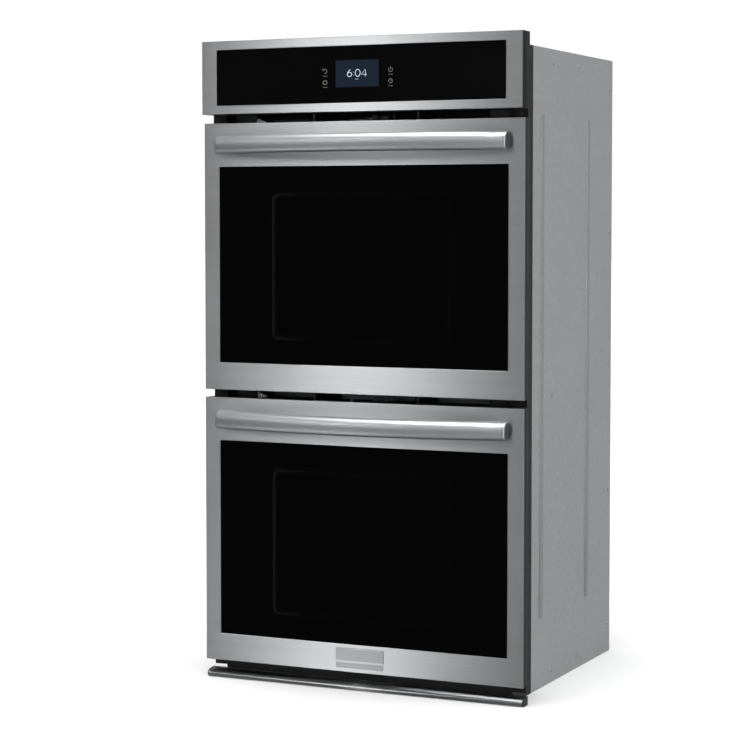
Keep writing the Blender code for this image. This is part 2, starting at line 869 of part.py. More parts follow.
def build_control_panel():
    """Stainless panel frame, black control glass, display and the board behind them."""
    front = FACE - PANEL_OUT
    panel = block(
        "panel_frame", (-PANEL_HALF, front, PANEL_BOTTOM), (PANEL_HALF, FRAME - GAP, HEIGHT), "stainless"
    )
    inside = block(
        "panel_inside",
        (SHEET - PANEL_HALF, front + SHEET, PANEL_BOTTOM + SHEET),
        (PANEL_HALF - SHEET, FRAME + PAST, HEIGHT - SHEET),
    )
    window = block(
        "panel_window",
        (-PANEL_GLASS_HALF, front - PAST, PANEL_GLASS_LOW),
        (PANEL_GLASS_HALF, front + PAST, PANEL_GLASS_HIGH),
    )
    cut(panel, inside, window)
    behind = front + SHEET + GAP
    lap = 0.004
    block(
        "panel_glass",
        (-PANEL_GLASS_HALF - lap, behind, PANEL_GLASS_LOW - lap),
        (PANEL_GLASS_HALF + lap, behind + GLASS, PANEL_GLASS_HIGH + lap),
        "black_glass",
    )
    behind += GLASS + GAP
    block(
        "display_module",
        (-DISPLAY_HALF, behind, DISPLAY_LOW),
        (DISPLAY_HALF, behind + 0.010, DISPLAY_HIGH),
        "display",
    )
    behind += 0.010 + GAP
    board = block("control_board", (-0.170, behind, 1.152), (0.170, behind + 0.002, 1.263), "board")
    for number, centre in enumerate((-0.120, -0.040, 0.040, 0.120)):
        relay = block(
            f"relay_{number}", (centre - 0.014, behind + 0.001, 1.180), (centre + 0.014, behind + 0.016, 1.215)
        )
        fuse(board, relay)


def build_blower():
    """Cooling blower: its housing with the motor on one end, and the wheel."""
    y = FRAME + 0.110
    z = 1.098
    housing = block("blower_housing", (-0.130, FRAME + 0.061, 1.062), (0.130, FRAME + 0.150, 1.134), "galvanised")
    drum = cylinder("blower_drum", (-0.120, y, z), (0.120, y, z), 0.0335, sides=32)
    outlet = block("blower_outlet", (-0.118, FRAME + 0.055, 1.112), (0.118, FRAME + 0.105, 1.130))
    inlet = block("blower_inlet", (-0.118, y + 0.010, 1.076), (0.118, FRAME + 0.160, 1.104))
    bearing = cylinder("blower_bearing", (0.115, y, z), (0.135, y, z), 0.0045, sides=16)
    motor = cylinder("blower_motor", (0.1295, y, z), (0.175, y, z), 0.028)
    socket = cylinder("motor_socket", (0.125, y, z), (0.150, y, z), 0.0045, sides=16)
    fuse(housing, motor)
    cut(housing, drum, outlet, inlet, bearing, socket)
    axis = (0, y, z)
    wheel = cylinder("blower_wheel", (-0.115, y, z), (0.115, y, z), 0.0305, "galvanised", 24, axis)
    hollow = cylinder("blower_hollow", (-0.120, y, z), (0.113, y, z), 0.0275)
    shaft = cylinder("blower_shaft", (0.114, y, z), (0.148, y, z), 0.004, sides=16)
    cut(wheel, hollow)
    fuse(wheel, shaft)
    return wheel, axis


def build_bottom_trim():
    """Trim under the lower door, with a nose of two slopes."""
    front = FACE + 0.002
    back = FRAME - GAP
    profile = [
        (back, 0.0),
        (front + 0.006, 0.0),
        (front, 0.0065),
        (front, 0.0085),
        (front + 0.007, 0.0140),
        (back, TRIM_HEIGHT),
    ]
    trim = outline("bottom_trim", profile, 2 * TRIM_HALF, "stainless")
    trim.rotation_euler = (math.radians(90), 0, math.radians(90))


def build_oven(name, base, ceiling):
    """One oven with what is in it and over it."""
    build_liner(name, base)
    build_gasket(name, base)
    for level in RACK_LEDGES:
        build_rack(name, base, level)
    build_elements(name, base)
    blade, fan_axis = build_fan(name, base)
    carry(axis_empty(f"fan_axis_{name}", fan_axis), [blade])
    build_lamp_and_probe(name, base)
    build_duct(name, base, ceiling)
    hook, hook_axis = build_latch(name, base)
    carry(axis_empty(f"latch_axis_{name}", hook_axis), [hook])
    build_plunger(name, base)
    build_door(name, base)


build_base_pan()
for panel_side, panel_sign in SIDES.items():
    build_side_panel(panel_side, panel_sign)
build_rear_panel()
build_top_cover()
build_divider()
CEILINGS = {"lower": DOOR_BOTTOMS["upper"] + THIN, "upper": PANEL_BOTTOM + DUCT_WALL}
for oven, bottom in DOOR_BOTTOMS.items():
    build_oven(oven, bottom, CEILINGS[oven])
build_control_panel()
wheel_piece, wheel_axis = build_blower()
carry(axis_empty("blower_axis", wheel_axis), [wheel_piece])
build_bottom_trim()
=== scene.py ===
import itertools
import math

import bmesh
import bpy
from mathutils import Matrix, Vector


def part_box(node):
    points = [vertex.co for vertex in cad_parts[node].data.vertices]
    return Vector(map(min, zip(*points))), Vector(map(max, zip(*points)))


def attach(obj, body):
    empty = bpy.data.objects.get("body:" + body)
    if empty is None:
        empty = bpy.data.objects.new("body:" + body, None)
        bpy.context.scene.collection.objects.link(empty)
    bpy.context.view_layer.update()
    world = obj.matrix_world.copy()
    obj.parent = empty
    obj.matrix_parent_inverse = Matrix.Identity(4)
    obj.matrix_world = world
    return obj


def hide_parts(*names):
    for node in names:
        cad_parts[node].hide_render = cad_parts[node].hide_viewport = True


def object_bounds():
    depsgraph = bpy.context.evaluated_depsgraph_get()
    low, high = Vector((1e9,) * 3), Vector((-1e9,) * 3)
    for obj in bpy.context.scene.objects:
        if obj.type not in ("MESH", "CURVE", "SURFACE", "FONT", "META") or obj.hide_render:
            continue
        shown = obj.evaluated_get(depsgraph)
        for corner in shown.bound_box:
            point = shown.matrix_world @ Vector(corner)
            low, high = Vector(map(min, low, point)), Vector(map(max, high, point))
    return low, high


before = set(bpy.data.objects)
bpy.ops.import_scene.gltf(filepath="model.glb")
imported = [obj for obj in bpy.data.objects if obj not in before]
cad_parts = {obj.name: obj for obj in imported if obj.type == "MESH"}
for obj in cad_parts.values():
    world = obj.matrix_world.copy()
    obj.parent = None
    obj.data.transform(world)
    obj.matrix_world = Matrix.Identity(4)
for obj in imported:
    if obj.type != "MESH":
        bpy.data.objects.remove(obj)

CAD_LOW, CAD_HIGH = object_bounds()
OVENS = ("lower", "upper")
SIDES = {"left": -1, "right": 1}

# Planes and heights, read from the CAD nodes.
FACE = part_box("door_skin_lower")[0].y
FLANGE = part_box("side_panel_left")[0].y
REAR = CAD_HIGH.y
TOP = CAD_HIGH.z
BASE = {oven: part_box(f"door_skin_{oven}")[0].z for oven in OVENS}
DOOR_TOP = {oven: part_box(f"door_skin_{oven}")[1].z for oven in OVENS}
DOOR_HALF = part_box("door_skin_lower")[1].x
WINDOW_LAP = 0.0065
PAINTED_DEPTH = 0.098
FLANGE_HOLES = (0.120, 0.5775, 1.1265)
EDGE_ROWS = (FLANGE + 0.030, REAR - 0.018)
WINDOW = {}
for oven in OVENS:
    pane_low, pane_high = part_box(f"door_glass_{oven}")
    WINDOW[oven] = (pane_high.x - WINDOW_LAP, pane_low.z + WINDOW_LAP, pane_high.z - WINDOW_LAP)


# Materials


class Nodes:
    """Short ways to add nodes to a tree."""

    def __init__(self, tree):
        self.tree = tree

    def node(self, kind, inputs=None, **settings):
        """A node with its settings; an input is a value or another node's output."""
        made = self.tree.nodes.new(kind)
        for key, value in settings.items():
            setattr(made, key, value)
        for key, value in (inputs or {}).items():
            if isinstance(value, bpy.types.NodeSocket):
                self.tree.links.new(value, made.inputs[key])
            else:
                made.inputs[key].default_value = value
        return made

    def math(self, operation, first, second=0.0):
        """One arithmetic step."""
        return self.node("ShaderNodeMath", {0: first, 1: second}, operation=operation).outputs[0]

    def spread(self, value, low, high, start=0.0, end=1.0, kind="LINEAR"):
        """A value moved from one range to another, held at the ends."""
        inputs = {"Value": value, "From Min": start, "From Max": end, "To Min": low, "To Max": high}
        return self.node("ShaderNodeMapRange", inputs, interpolation_type=kind).outputs["Result"]

    def blend(self, amount, first, second):
        """Two colours mixed."""
        inputs = {"Factor": amount, 6: first, 7: second}
        return self.node("ShaderNodeMix", inputs, data_type="RGBA").outputs[2]


class Shading(Nodes):
    """A Principled material."""

    def __init__(self, name, roughness, metallic=0.0, **sockets):
        self.material = bpy.data.materials.new(name)
        self.material.use_nodes = True
        super().__init__(self.material.node_tree)
        self.shader = self.tree.nodes["Principled BSDF"]
        self.shader.inputs["Roughness"].default_value = roughness
        self.shader.inputs["Metallic"].default_value = metallic
        for socket, value in sockets.items():
            self.shader.inputs[socket.replace("_", " ")].default_value = value
        self.place = self.node("ShaderNodeTexCoord").outputs["Object"]

    def stretched(self, scale):
        """The object's own coordinates, scaled along each axis."""
        inputs = {"Vector": self.place, "Scale": scale}
        return self.node("ShaderNodeMapping", inputs).outputs["Vector"]

    def noise(self, scale, detail=3.0, stretch=None, roughness=0.55):
        """Cloudy noise from 0 to 1."""
        vector = self.stretched(stretch) if stretch else self.place
        inputs = {"Vector": vector, "Scale": scale, "Detail": detail, "Roughness": roughness}
        return self.node("ShaderNodeTexNoise", inputs).outputs["Fac"]

    def colour(self, value):
        """Set the base colour."""
        self.set("Base Color", value)

    def set(self, socket, value):
        """Set a socket of the shader to a value or an output."""
        if isinstance(value, bpy.types.NodeSocket):
            self.tree.links.new(value, self.shader.inputs[socket])
        else:
            self.shader.inputs[socket].default_value = value

    def bump(self, height, strength, distance=0.001):
        """Surface relief."""
        inputs = {"Height": height, "Strength": strength, "Distance": distance}
        self.set("Normal", self.node("ShaderNodeBump", inputs).outputs["Normal"])


def rgb(red, green, blue):
    """A colour socket's value."""
    return (red, green, blue, 1.0)


def brushed(name, tone, along, roughness, anisotropy, turn, streak=0.055):
    """Brushed metal. The grain runs along one axis, and highlights spread across it."""
    made = Shading(name, roughness, 1.0, Anisotropic=anisotropy, Anisotropic_Rotation=turn)
    fine, coarse = [900.0] * 3, [140.0] * 3
    fine["xyz".index(along)] = 7.0
    coarse["xyz".index(along)] = 2.2
    hair = made.noise(1.0, 3.0, fine)
    band = made.noise(1.0, 4.0, coarse)
    smudge = made.noise(5.0, 3.0)
    tint = made.spread(band, 1.0 - streak, 1.0, 0.3, 0.7)
    tint = made.math("MULTIPLY", tint, made.spread(hair, 1.0 - streak, 1.0, 0.25, 0.75))
    tint = made.math("MULTIPLY", tint, made.spread(smudge, 0.97, 1.0, 0.3, 0.7))
    dark = rgb(*(c * 0.02 for c in tone))
    made.colour(made.blend(tint, dark, rgb(*tone)))
    dull = made.spread(made.math("ADD", hair, smudge), roughness - 0.005, roughness + 0.02, 0.7, 1.3)
    made.set("Roughness", dull)
    made.bump(hair, 0.012, 0.0001)
    tangent = made.node("ShaderNodeTangent", direction_type="RADIAL", axis="Z")
    made.set("Tangent", tangent.outputs["Tangent"])
    return made.material


def painted(name, tone, roughness, peel=0.10, fleck=0.15, scale=700.0, **sockets):
    """Powder coat: fine orange peel and slight wear in the sheen."""
    made = Shading(name, roughness, **sockets)
    cloud = made.noise(9.0, 4.0)
    grain = made.noise(scale, 2.0)
    light = rgb(*(c * (1.0 + fleck) for c in tone))
    dark = rgb(*(c * (1.0 - fleck) for c in tone))
    made.colour(made.blend(made.spread(made.math("ADD", cloud, grain), 0.0, 1.0, 0.6, 1.4), dark, light))
    made.set("Roughness", made.spread(cloud, roughness - 0.05, roughness + 0.07, 0.3, 0.7))
    made.bump(grain, peel, 0.0003)
    return made.material


def galvanised(name, tone=(0.60, 0.62, 0.63), roughness=0.42, cells=210.0, metallic=0.85):
    """Zinc-coated sheet with a spangle of dull crystals."""
    made = Shading(name, roughness, metallic)
    wobble = made.node("ShaderNodeTexNoise", {"Vector": made.place, "Scale": 110.0, "Detail": 2.0})
    shifted = made.node("ShaderNodeVectorMath", {0: wobble.outputs["Color"], "Scale": 0.006}, operation="SCALE")
    vector = made.node("ShaderNodeVectorMath", {0: made.place, 1: shifted.outputs[0]}, operation="ADD")
    crystal = made.node("ShaderNodeTexVoronoi", {"Vector": vector.outputs[0], "Scale": cells})
    grey = made.node("ShaderNodeSeparateColor", {"Color": crystal.outputs["Color"]}).outputs["Red"]
    cloud = made.noise(4.0, 4.0)
    level = made.math("ADD", made.math("MULTIPLY", grey, 0.6), made.math("MULTIPLY", cloud, 0.8))
    dark = rgb(*(c * 0.90 for c in tone))
    light = rgb(*(min(1.0, c * 1.06) for c in tone))
    made.colour(made.blend(made.spread(level, 0.0, 1.0, 0.25, 1.15), dark, light))
    made.set("Roughness", made.spread(grey, roughness - 0.04, roughness + 0.05))
    made.bump(made.noise(500.0, 2.0), 0.05, 0.0003)
    return made.material


def side_sheet(name):
    """Galvanised sheet whose front, with the flange, is painted black."""
    material = galvanised(name, (0.72, 0.74, 0.75))
    made = Nodes(material.node_tree)
    shader = material.node_tree.nodes["Principled BSDF"]
    place = made.node("ShaderNodeTexCoord").outputs["Object"]
    split = made.node("ShaderNodeSeparateXYZ", {"Vector": place})
    edge = FLANGE + PAINTED_DEPTH
    flange = made.spread(split.outputs["Y"], 1.0, 0.0, edge, edge + 0.0006)
    bare = shader.inputs["Base Color"].links[0].from_socket
    dull = made.node("ShaderNodeTexNoise", {"Vector": place, "Scale": 12.0}).outputs["Fac"]
    dull = made.spread(dull, 0.0, 1.0)
    black = made.blend(dull, rgb(0.004, 0.004, 0.0045), rgb(0.008, 0.008, 0.009))
    made.tree.links.new(made.blend(flange, bare, black), shader.inputs["Base Color"])
    made.tree.links.new(made.spread(flange, 0.85, 0.0), shader.inputs["Metallic"])
    return material


def window_glass(name, oven):
    """Black-printed pane with a tinted see-through middle, and round it a fine pale line of painted highlight
    for the lit rim of the inner window, brighter at the left.
    """
    made = Shading(name, 0.05, 0.0, Specular_IOR_Level=0.08)
    low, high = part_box(f"inner_glass_{oven}")
    top, bottom = high.z - 0.012, low.z + 0.008
    half_x, half_z = 0.192, (top - bottom) / 2
    corner = 0.014
    split = made.node("ShaderNodeSeparateXYZ", {"Vector": made.place})
    across = made.math("ABSOLUTE", split.outputs["X"])
    across = made.math("MAXIMUM", made.math("SUBTRACT", across, half_x - corner), 0.0)
    up = made.math("ABSOLUTE", made.math("SUBTRACT", split.outputs["Z"], (top + bottom) / 2))
    up = made.math("MAXIMUM", made.math("SUBTRACT", up, half_z - corner), 0.0)
    radius = made.math("SQRT", made.math("ADD", made.math("POWER", across, 2.0), made.math("POWER", up, 2.0)))
    clear = made.spread(radius, 1.0, 0.0, corner - 0.001, corner)
    # Painted highlight: a pale line round the see-through middle stands for the inner window's lit rim, and
    # fades from the left side towards the right.
    painted_rim_glint = made.math("MULTIPLY", made.spread(radius, 0.0, 1.0, corner - 0.009, corner - 0.003), clear)
    painted_rim_glint = made.math("MULTIPLY", painted_rim_glint, made.spread(split.outputs["X"], 0.85, 0.14, -0.185, -0.12))
    smear = made.noise(6.0, 4.0)
    print_tone = made.blend(smear, rgb(0.0009, 0.0009, 0.0010), rgb(0.0015, 0.0015, 0.0016))
    made.colour(made.blend(painted_rim_glint, print_tone, rgb(0.010, 0.010, 0.010)))
    made.set("Alpha", made.spread(clear, 1.0, 0.80))
    made.set("Roughness", made.spread(smear, 0.03, 0.10, 0.35, 0.75))
    return made.material


def black_glass(name):
    """Polished black glass with the faintest smears."""
    made = Shading(name, 0.06, 0.0, Specular_IOR_Level=0.10)
    smear = made.noise(7.0, 4.0)
    made.colour(made.blend(smear, rgb(0.0018, 0.0018, 0.0019), rgb(0.0028, 0.0028, 0.0030)))
    made.set("Roughness", made.spread(smear, 0.04, 0.12, 0.35, 0.75))
    return made.material


def clear_glass(name):
    """Clear toughened pane, faintly green, with baking haze."""
    made = Shading(name, 0.04, 0.0)
    haze = made.noise(5.0, 4.0)
    made.colour(made.blend(haze, rgb(0.10, 0.13, 0.12), rgb(0.16, 0.18, 0.17)))
    made.set("Alpha", made.spread(haze, 0.16, 0.26, 0.3, 0.7))
    made.set("Roughness", made.spread(haze, 0.02, 0.08, 0.3, 0.7))
    return made.material


def enamel(name):
    """Dark blue-grey porcelain enamel with pale specks."""
    made = Shading(name, 0.16, 0.0, Coat_Weight=0.4, Coat_Roughness=0.08)
    specks = made.node("ShaderNodeTexVoronoi", {"Vector": made.place, "Scale": 330.0})
    spot = made.spread(specks.outputs["Distance"], 1.0, 0.0, 0.10, 0.20)
    chance = made.node("ShaderNodeSeparateColor", {"Color": specks.outputs["Color"]}).outputs["Green"]
    spot = made.math("MULTIPLY", spot, made.spread(chance, 0.0, 1.0, 0.55, 0.70))
    cloud = made.noise(6.0, 4.0)
    ground = made.blend(cloud, rgb(0.014, 0.017, 0.026), rgb(0.022, 0.026, 0.038))
    made.colour(made.blend(spot, ground, rgb(0.22, 0.25, 0.31)))
    made.set("Roughness", made.spread(cloud, 0.12, 0.24, 0.3, 0.7))
    made.bump(made.noise(180.0, 2.0), 0.06, 0.0006)
    return made.material


def plated(name, tone, roughness, scale=45.0):
    """Plated or worn bare metal with mottled sheen."""
    made = Shading(name, roughness, 1.0)
    mottle = made.noise(scale, 5.0)
    dark = rgb(*(c * 0.82 for c in tone))
    made.colour(made.blend(made.spread(mottle, 0.0, 1.0, 0.3, 0.7), dark, rgb(*tone)))
    made.set("Roughness", made.spread(mottle, roughness * 0.7, roughness * 1.4, 0.3, 0.7))
    made.bump(made.noise(scale * 14.0, 2.0), 0.04, 0.0002)
    return made.material


def woven(name):
    """Braided glass-fibre rope."""
    made = Shading(name, 0.95, 0.0, Sheen_Weight=0.3)
    turned = made.node("ShaderNodeMapping", {"Vector": made.place, "Rotation": (0.0, 0.785, 0.0)})
    bands = {"Vector": turned.outputs["Vector"], "Scale": 330.0}
    first = made.node("ShaderNodeTexWave", bands, bands_direction="X").outputs["Fac"]
    second = made.node("ShaderNodeTexWave", bands, bands_direction="Z").outputs["Fac"]
    braid = made.math("MAXIMUM", first, second)
    made.colour(made.blend(braid, rgb(0.025, 0.025, 0.026), rgb(0.12, 0.12, 0.115)))
    made.bump(braid, 0.7, 0.0008)
    return made.material


def circuit(name):
    """Green board with copper tracks under the mask."""
    made = Shading(name, 0.35, 0.0)
    tracks = made.node("ShaderNodeTexBrick", {"Vector": made.stretched((160.0, 160.0, 160.0)), "Scale": 1.0})
    grain = made.noise(300.0, 2.0)
    green = made.blend(grain, rgb(0.010, 0.075, 0.028), rgb(0.016, 0.10, 0.040))
    made.colour(made.blend(made.math("MULTIPLY", tracks.outputs["Fac"], 0.5), green, rgb(0.05, 0.20, 0.08)))
    made.bump(tracks.outputs["Fac"], 0.2, 0.0003)
    return made.material


def plastic(name, tone, roughness=0.45, **sockets):
    """Moulded plastic with a fine spark-eroded texture."""
    return painted(name, tone, roughness, 0.07, 0.05, 1100.0, **sockets)


def glowing(name, tone, strength):
    """Lit marks of the display, a little uneven like a backlight."""
    made = Shading(name, 0.4, 0.0)
    uneven = made.noise(120.0, 2.0)
    shade = made.blend(uneven, rgb(*(c * 0.9 for c in tone)), rgb(*tone))
    made.colour(shade)
    made.set("Emission Color", shade)
    made.set("Emission Strength", strength)
    return made.material


def screen(name):
    """Dark blue display face with its backlight showing faintly."""
    made = Shading(name, 0.12, 0.0, Specular_IOR_Level=0.12)
    cloud = made.noise(14.0, 2.0)
    shade = made.blend(cloud, rgb(0.0085, 0.0125, 0.0205), rgb(0.0105, 0.0160, 0.0270))
    made.colour(shade)
    made.set("Emission Color", shade)
    made.set("Emission Strength", 0.30)
    return made.material


STEEL = (0.46, 0.47, 0.48)
STEEL_ROUGHNESS = 0.29
MATERIALS = {
    "steel": brushed("brushed_steel", STEEL, "x", STEEL_ROUGHNESS, 1.0, 0.25),
    "handle": brushed("handle_metal", (0.68, 0.705, 0.73), "x", 0.42, 0.0, 0.0, 0.012),
    "paint": painted("black_paint", (0.026, 0.027, 0.029), 0.46, Specular_IOR_Level=0.40),
    "badge": brushed("badge_metal", tuple(0.60 * c for c in STEEL), "x", STEEL_ROUGHNESS, 1.0, 0.25, 0.03),
    "satin": painted("satin_black", (0.014, 0.015, 0.016), 0.50, Specular_IOR_Level=0.30),
    "matte": painted("duct_paint", (0.010, 0.010, 0.011), 0.55),
    "plate": painted("plate_paint", (0.055, 0.056, 0.058), 0.40),
    "galvanised": galvanised("galvanised"),
    "side": side_sheet("side_sheet"),
    "bright": galvanised("bright_zinc", (0.78, 0.79, 0.80), 0.30),
    "glass": black_glass("black_glass"),
    "window_lower": window_glass("window_glass_lower", "lower"),
    "window_upper": window_glass("window_glass_upper", "upper"),
    "clear": clear_glass("clear_glass"),
    "enamel": enamel("enamel"),
    "chrome": plated("chrome_wire", (0.74, 0.74, 0.75), 0.14),
    "element": plated("element_metal", (0.09, 0.085, 0.08), 0.50, 90.0),
    "motor": plated("motor_metal", (0.34, 0.34, 0.35), 0.42),
    "seal": woven("woven_seal"),
    "board": circuit("board"),
    "lens": plastic("lens", (0.70, 0.70, 0.66), 0.10, Alpha=0.65),
    "white": plastic("plunger_plastic", (0.72, 0.72, 0.69), 0.40),
    # Dark end faces of the handle caps: partly the caps' own dark finish, partly painted shade of the handle's
    # end against the door.
    "cap": plastic("handle_cap_face_and_painted_shade", (0.050, 0.060, 0.066), 0.42),
    "screen": screen("display"),
    "digits": glowing("display_digits", (0.46, 0.56, 0.66), 0.55),
    "icons": glowing("touch_icons", (0.22, 0.22, 0.21), 0.40),
}


# Shapes


def add_loops(shape, loops, closed=False, capped=False, material=0):
    """Faces between rings of points, in order."""
    rings = [[shape.verts.new(point) for point in loop] for loop in loops]
    faces = []
    pairs = list(zip(rings, rings[1:]))
    if closed:
        pairs.append((rings[-1], rings[0]))
    for first, second in pairs:
        for here in range(len(first)):
            after = (here + 1) % len(first)
            faces.append(shape.faces.new((first[here], first[after], second[after], second[here])))
    if capped:
        faces.append(shape.faces.new(rings[0]))
        faces.append(shape.faces.new(rings[-1][::-1]))
    for face in faces:
        face.material_index = material
    return faces


def rectangle(half, low, high, y, radius=0.0, steps=3):
    """A ring of points round a rectangle in XZ, with rounded corners."""
    points = []
    corners = ((half, high, 0), (-half, high, 90), (-half, low, 180), (half, low, 270))
    for x, z, start in corners:
        centre = (x - math.copysign(radius, x), z - radius if z == high else z + radius)
        for step in range(steps + 1):
            angle = math.radians(start + 90 * step / steps)
            points.append((centre[0] + radius * math.cos(angle), y, centre[1] + radius * math.sin(angle)))
    return points


def frames(half, low, high, section, radius=None, steps=3):
    """Rings round a rectangle, each stepped inwards and at its own depth."""
    rings = []
    for inset, y in section:
        corner = radius - inset if radius else 0.0
        rings.append(rectangle(half - inset, low + inset, high - inset, y, corner, steps))
    return rings


def add_box(shape, low, high, bevel=0.0006, material=0):
    """A block with rounded edges, from two opposite corners in either order."""
    low, high = Vector(map(min, low, high)), Vector(map(max, low, high))
    made = bmesh.ops.create_cube(shape, size=1.0)["verts"]
    bmesh.ops.scale(shape, verts=made, vec=high - low)
    bmesh.ops.translate(shape, verts=made, vec=(low + high) / 2)
    edges = list({edge for vert in made for edge in vert.link_edges})
    for face in {face for vert in made for face in vert.link_faces}:
        face.material_index = material
    if bevel:
        bmesh.ops.bevel(shape, geom=edges, offset=bevel, segments=2, profile=0.5, affect="EDGES")


def circle(radius, sides):
    """Points round a circle in a plane."""
    angles = [2 * math.pi * side / sides for side in range(sides)]
    return [(radius * math.cos(angle), radius * math.sin(angle)) for angle in angles]


def add_turned(shape, profile, centre, axis, sides=24, material=0):
    """A turned form. The profile gives radius and distance along the axis."""
    turn = Vector(axis).to_track_quat("Z", "Y").to_matrix()
    loops = [
        [Vector(centre) + turn @ Vector((across, up, along)) for across, up in circle(radius, sides)]
        for radius, along in profile
    ]
    add_loops(shape, loops, capped=True, material=material)


def add_tube(shape, points, radius, sides=10, closed=False, material=0):
    """A round bar along a path, turned evenly."""
    points = [Vector(point) for point in points]
    count = len(points)
    loops = []
    up = None
    for index, point in enumerate(points):
        before = points[(index - 1) % count] if closed or index else point
        after = points[(index + 1) % count] if closed or index < count - 1 else point
        along = (after - before).normalized()
        if up is None:
            up = along.orthogonal().normalized()
        up = (up - along * up.dot(along)).normalized()
        across = along.cross(up)
        ring = []
        for side in range(sides):
            angle = 2 * math.pi * side / sides
            ring.append(point + radius * (math.cos(angle) * up + math.sin(angle) * across))
        loops.append(ring)
    add_loops(shape, loops, closed, not closed, material)


def eased(points, radius, steps=5, closed=False):
    """A path with its corners rounded."""
    points = [Vector(point) for point in points]
    count = len(points)
    path = []
    for index, point in enumerate(points):
        if not closed and index in (0, count - 1):
            path.append(point)
            continue
        before = points[index - 1] - point
        after = points[(index + 1) % count] - point
        reach = min(radius, before.length * 0.49, after.length * 0.49)
        start = point + before.normalized() * reach
        end = point + after.normalized() * reach
        for step in range(steps + 1):
            t = step / steps
            path.append(start * (1 - t) ** 2 + point * 2 * t * (1 - t) + end * t**2)
    return path


def piece(name, shape, body, looks, replaces=(), smooth=35):
    """A finished piece on its body, in the finish of a material slot."""
    bmesh.ops.recalc_face_normals(shape, faces=shape.faces)
    mesh = bpy.data.meshes.new(name)
    shape.to_mesh(mesh)
    shape.free()
    item = bpy.data.objects.new(name, mesh)
    bpy.context.scene.collection.objects.link(item)
    for look in [looks] if isinstance(looks, str) else looks:
        mesh.materials.append(MATERIALS[look])
    mesh.shade_smooth()
    mesh.set_sharp_from_angle(angle=math.radians(smooth))
    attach(item, body)
    if replaces:
        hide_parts(*replaces)
    return item


# Fronts


def add_face_sheet(shape, half, low, high, window, front, back, wall=0.001):
    """A folded sheet front with rolled outer edges and a window opening."""
    window_half, window_low, window_high = window
    roll = 0.0008
    section = [
        (0.0, back),
        (0.0, front + roll),
        (roll * 0.13, front + roll * 0.5),
        (roll * 0.5, front + roll * 0.13),
        (roll, front),
    ]
    add_loops(shape, frames(half, low, high, section))
    lip = 0.0018
    opening = [(-lip, front), (-lip * 0.35, front + lip * 0.2), (0.0, front + lip * 0.7)]
    opening.append((0.0, front + wall + 0.0001))
    add_loops(shape, frames(window_half, window_low, window_high, opening))
    inner = [(wall, front + wall), (wall, back)]
    add_loops(shape, frames(half, low, high, inner))
    add_loops(shape, frames(half, low, high, [(0.0, back), (wall, back)]))
    outer_x, outer_low, outer_high = half - roll, low + roll, high - roll
    hole_x, hole_low, hole_high = window_half + lip, window_low - lip, window_high + lip
    for y, reach, low_z, high_z in (
        (front, outer_x, outer_low, outer_high),
        (front + wall, half - wall, low + wall, high - wall),
    ):
        hole = rectangle(hole_x, hole_low, hole_high, y)
        add_loops(shape, [rectangle(reach, low_z, high_z, y), hole])


def build_door_front(oven):
    """Stainless front of a door."""
    shape = bmesh.new()
    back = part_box(f"door_skin_{oven}")[1].y
    add_face_sheet(shape, DOOR_HALF, BASE[oven], DOOR_TOP[oven], WINDOW[oven], FACE, back)
    piece(f"door_front_{oven}", shape, f"door_{oven}", "steel", [f"door_skin_{oven}"])


HANDLE_SECTION = (
    (0.00, -0.82), (0.05, -0.93), (0.18, -0.99), (0.40, -1.00), (0.66, -0.98), (0.84, -0.90),
    (0.94, -0.74), (0.985, -0.48), (1.00, -0.15), (0.985, 0.14), (0.94, 0.38), (0.85, 0.60),
    (0.71, 0.78), (0.53, 0.90), (0.33, 0.97), (0.14, 1.00), (0.03, 0.95), (0.00, 0.82),
)


def handle_ring(x, node_low, node_high, thick=0.020, foot=0.030, scale=1.0):
    """One cross-section of a bowed handle, which deepens into its feet."""
    half = node_high.x
    back = node_high.y
    bow = back - node_low.y - thick
    radius = (half**2 + bow**2) / (2 * bow)
    reach = min(abs(x), half)
    front = node_low.y + radius - math.sqrt(radius**2 - reach**2)
    start, end = half - foot - 0.014, half - foot + 0.004
    t = min(1.0, max(0.0, (reach - start) / (end - start)))
    ease = t * t * (3 - 2 * t)
    rear = (front + thick) * (1 - ease) + back * ease
    middle_y, middle_z = (front + rear) / 2, (node_low.z + node_high.z) / 2
    height = (node_high.z - node_low.z) / 2
    ring = []
    for depth, up in HANDLE_SECTION:
        y = rear + (front - rear) * depth
        ring.append((x, middle_y + (y - middle_y) * scale, middle_z + up * height * scale))
    return ring


def build_handle(oven):
    """Bowed handle with a domed top edge, and its two end caps, whose end faces are dark partly by their own
    finish and partly by painted shade.
    """
    low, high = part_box(f"handle_{oven}")
    cap = 0.0045
    bar_half = high.x - cap
    shape = bmesh.new()
    stations = [bar_half * (2 * step / 72 - 1) for step in range(73)]
    loops = [handle_ring(-bar_half, low, high, scale=0.93)]
    loops += [handle_ring(x, low, high) for x in stations]
    loops += [handle_ring(bar_half, low, high, scale=0.93)]
    add_loops(shape, loops, capped=True)
    body = f"door_{oven}"
    piece(f"handle_bar_{oven}", shape, body, "handle", [f"handle_{oven}"], 50)
    for side, sign in SIDES.items():
        shape = bmesh.new()
        start = bar_half + 0.0004
        steps = ((0.0, 0.95), (0.0002, 1.0), (0.0022, 1.0), (0.0034, 0.975), (0.0040, 0.92))
        rings = [handle_ring(sign * (start + along), low, high, scale=size) for along, size in steps]
        add_loops(shape, rings, capped=True)
        # The end face takes the dark cap finish: partly its own colour, partly painted shade where the handle's
        # end meets the door.
        face = [(0.0040, 0.915), (0.0041, 0.86)]
        rings = [handle_ring(sign * (start + along), low, high, scale=size) for along, size in face]
        add_loops(shape, rings, capped=True, material=1)
        piece(f"handle_cap_{oven}_{side}", shape, body, ("handle", "cap"), (), 50)


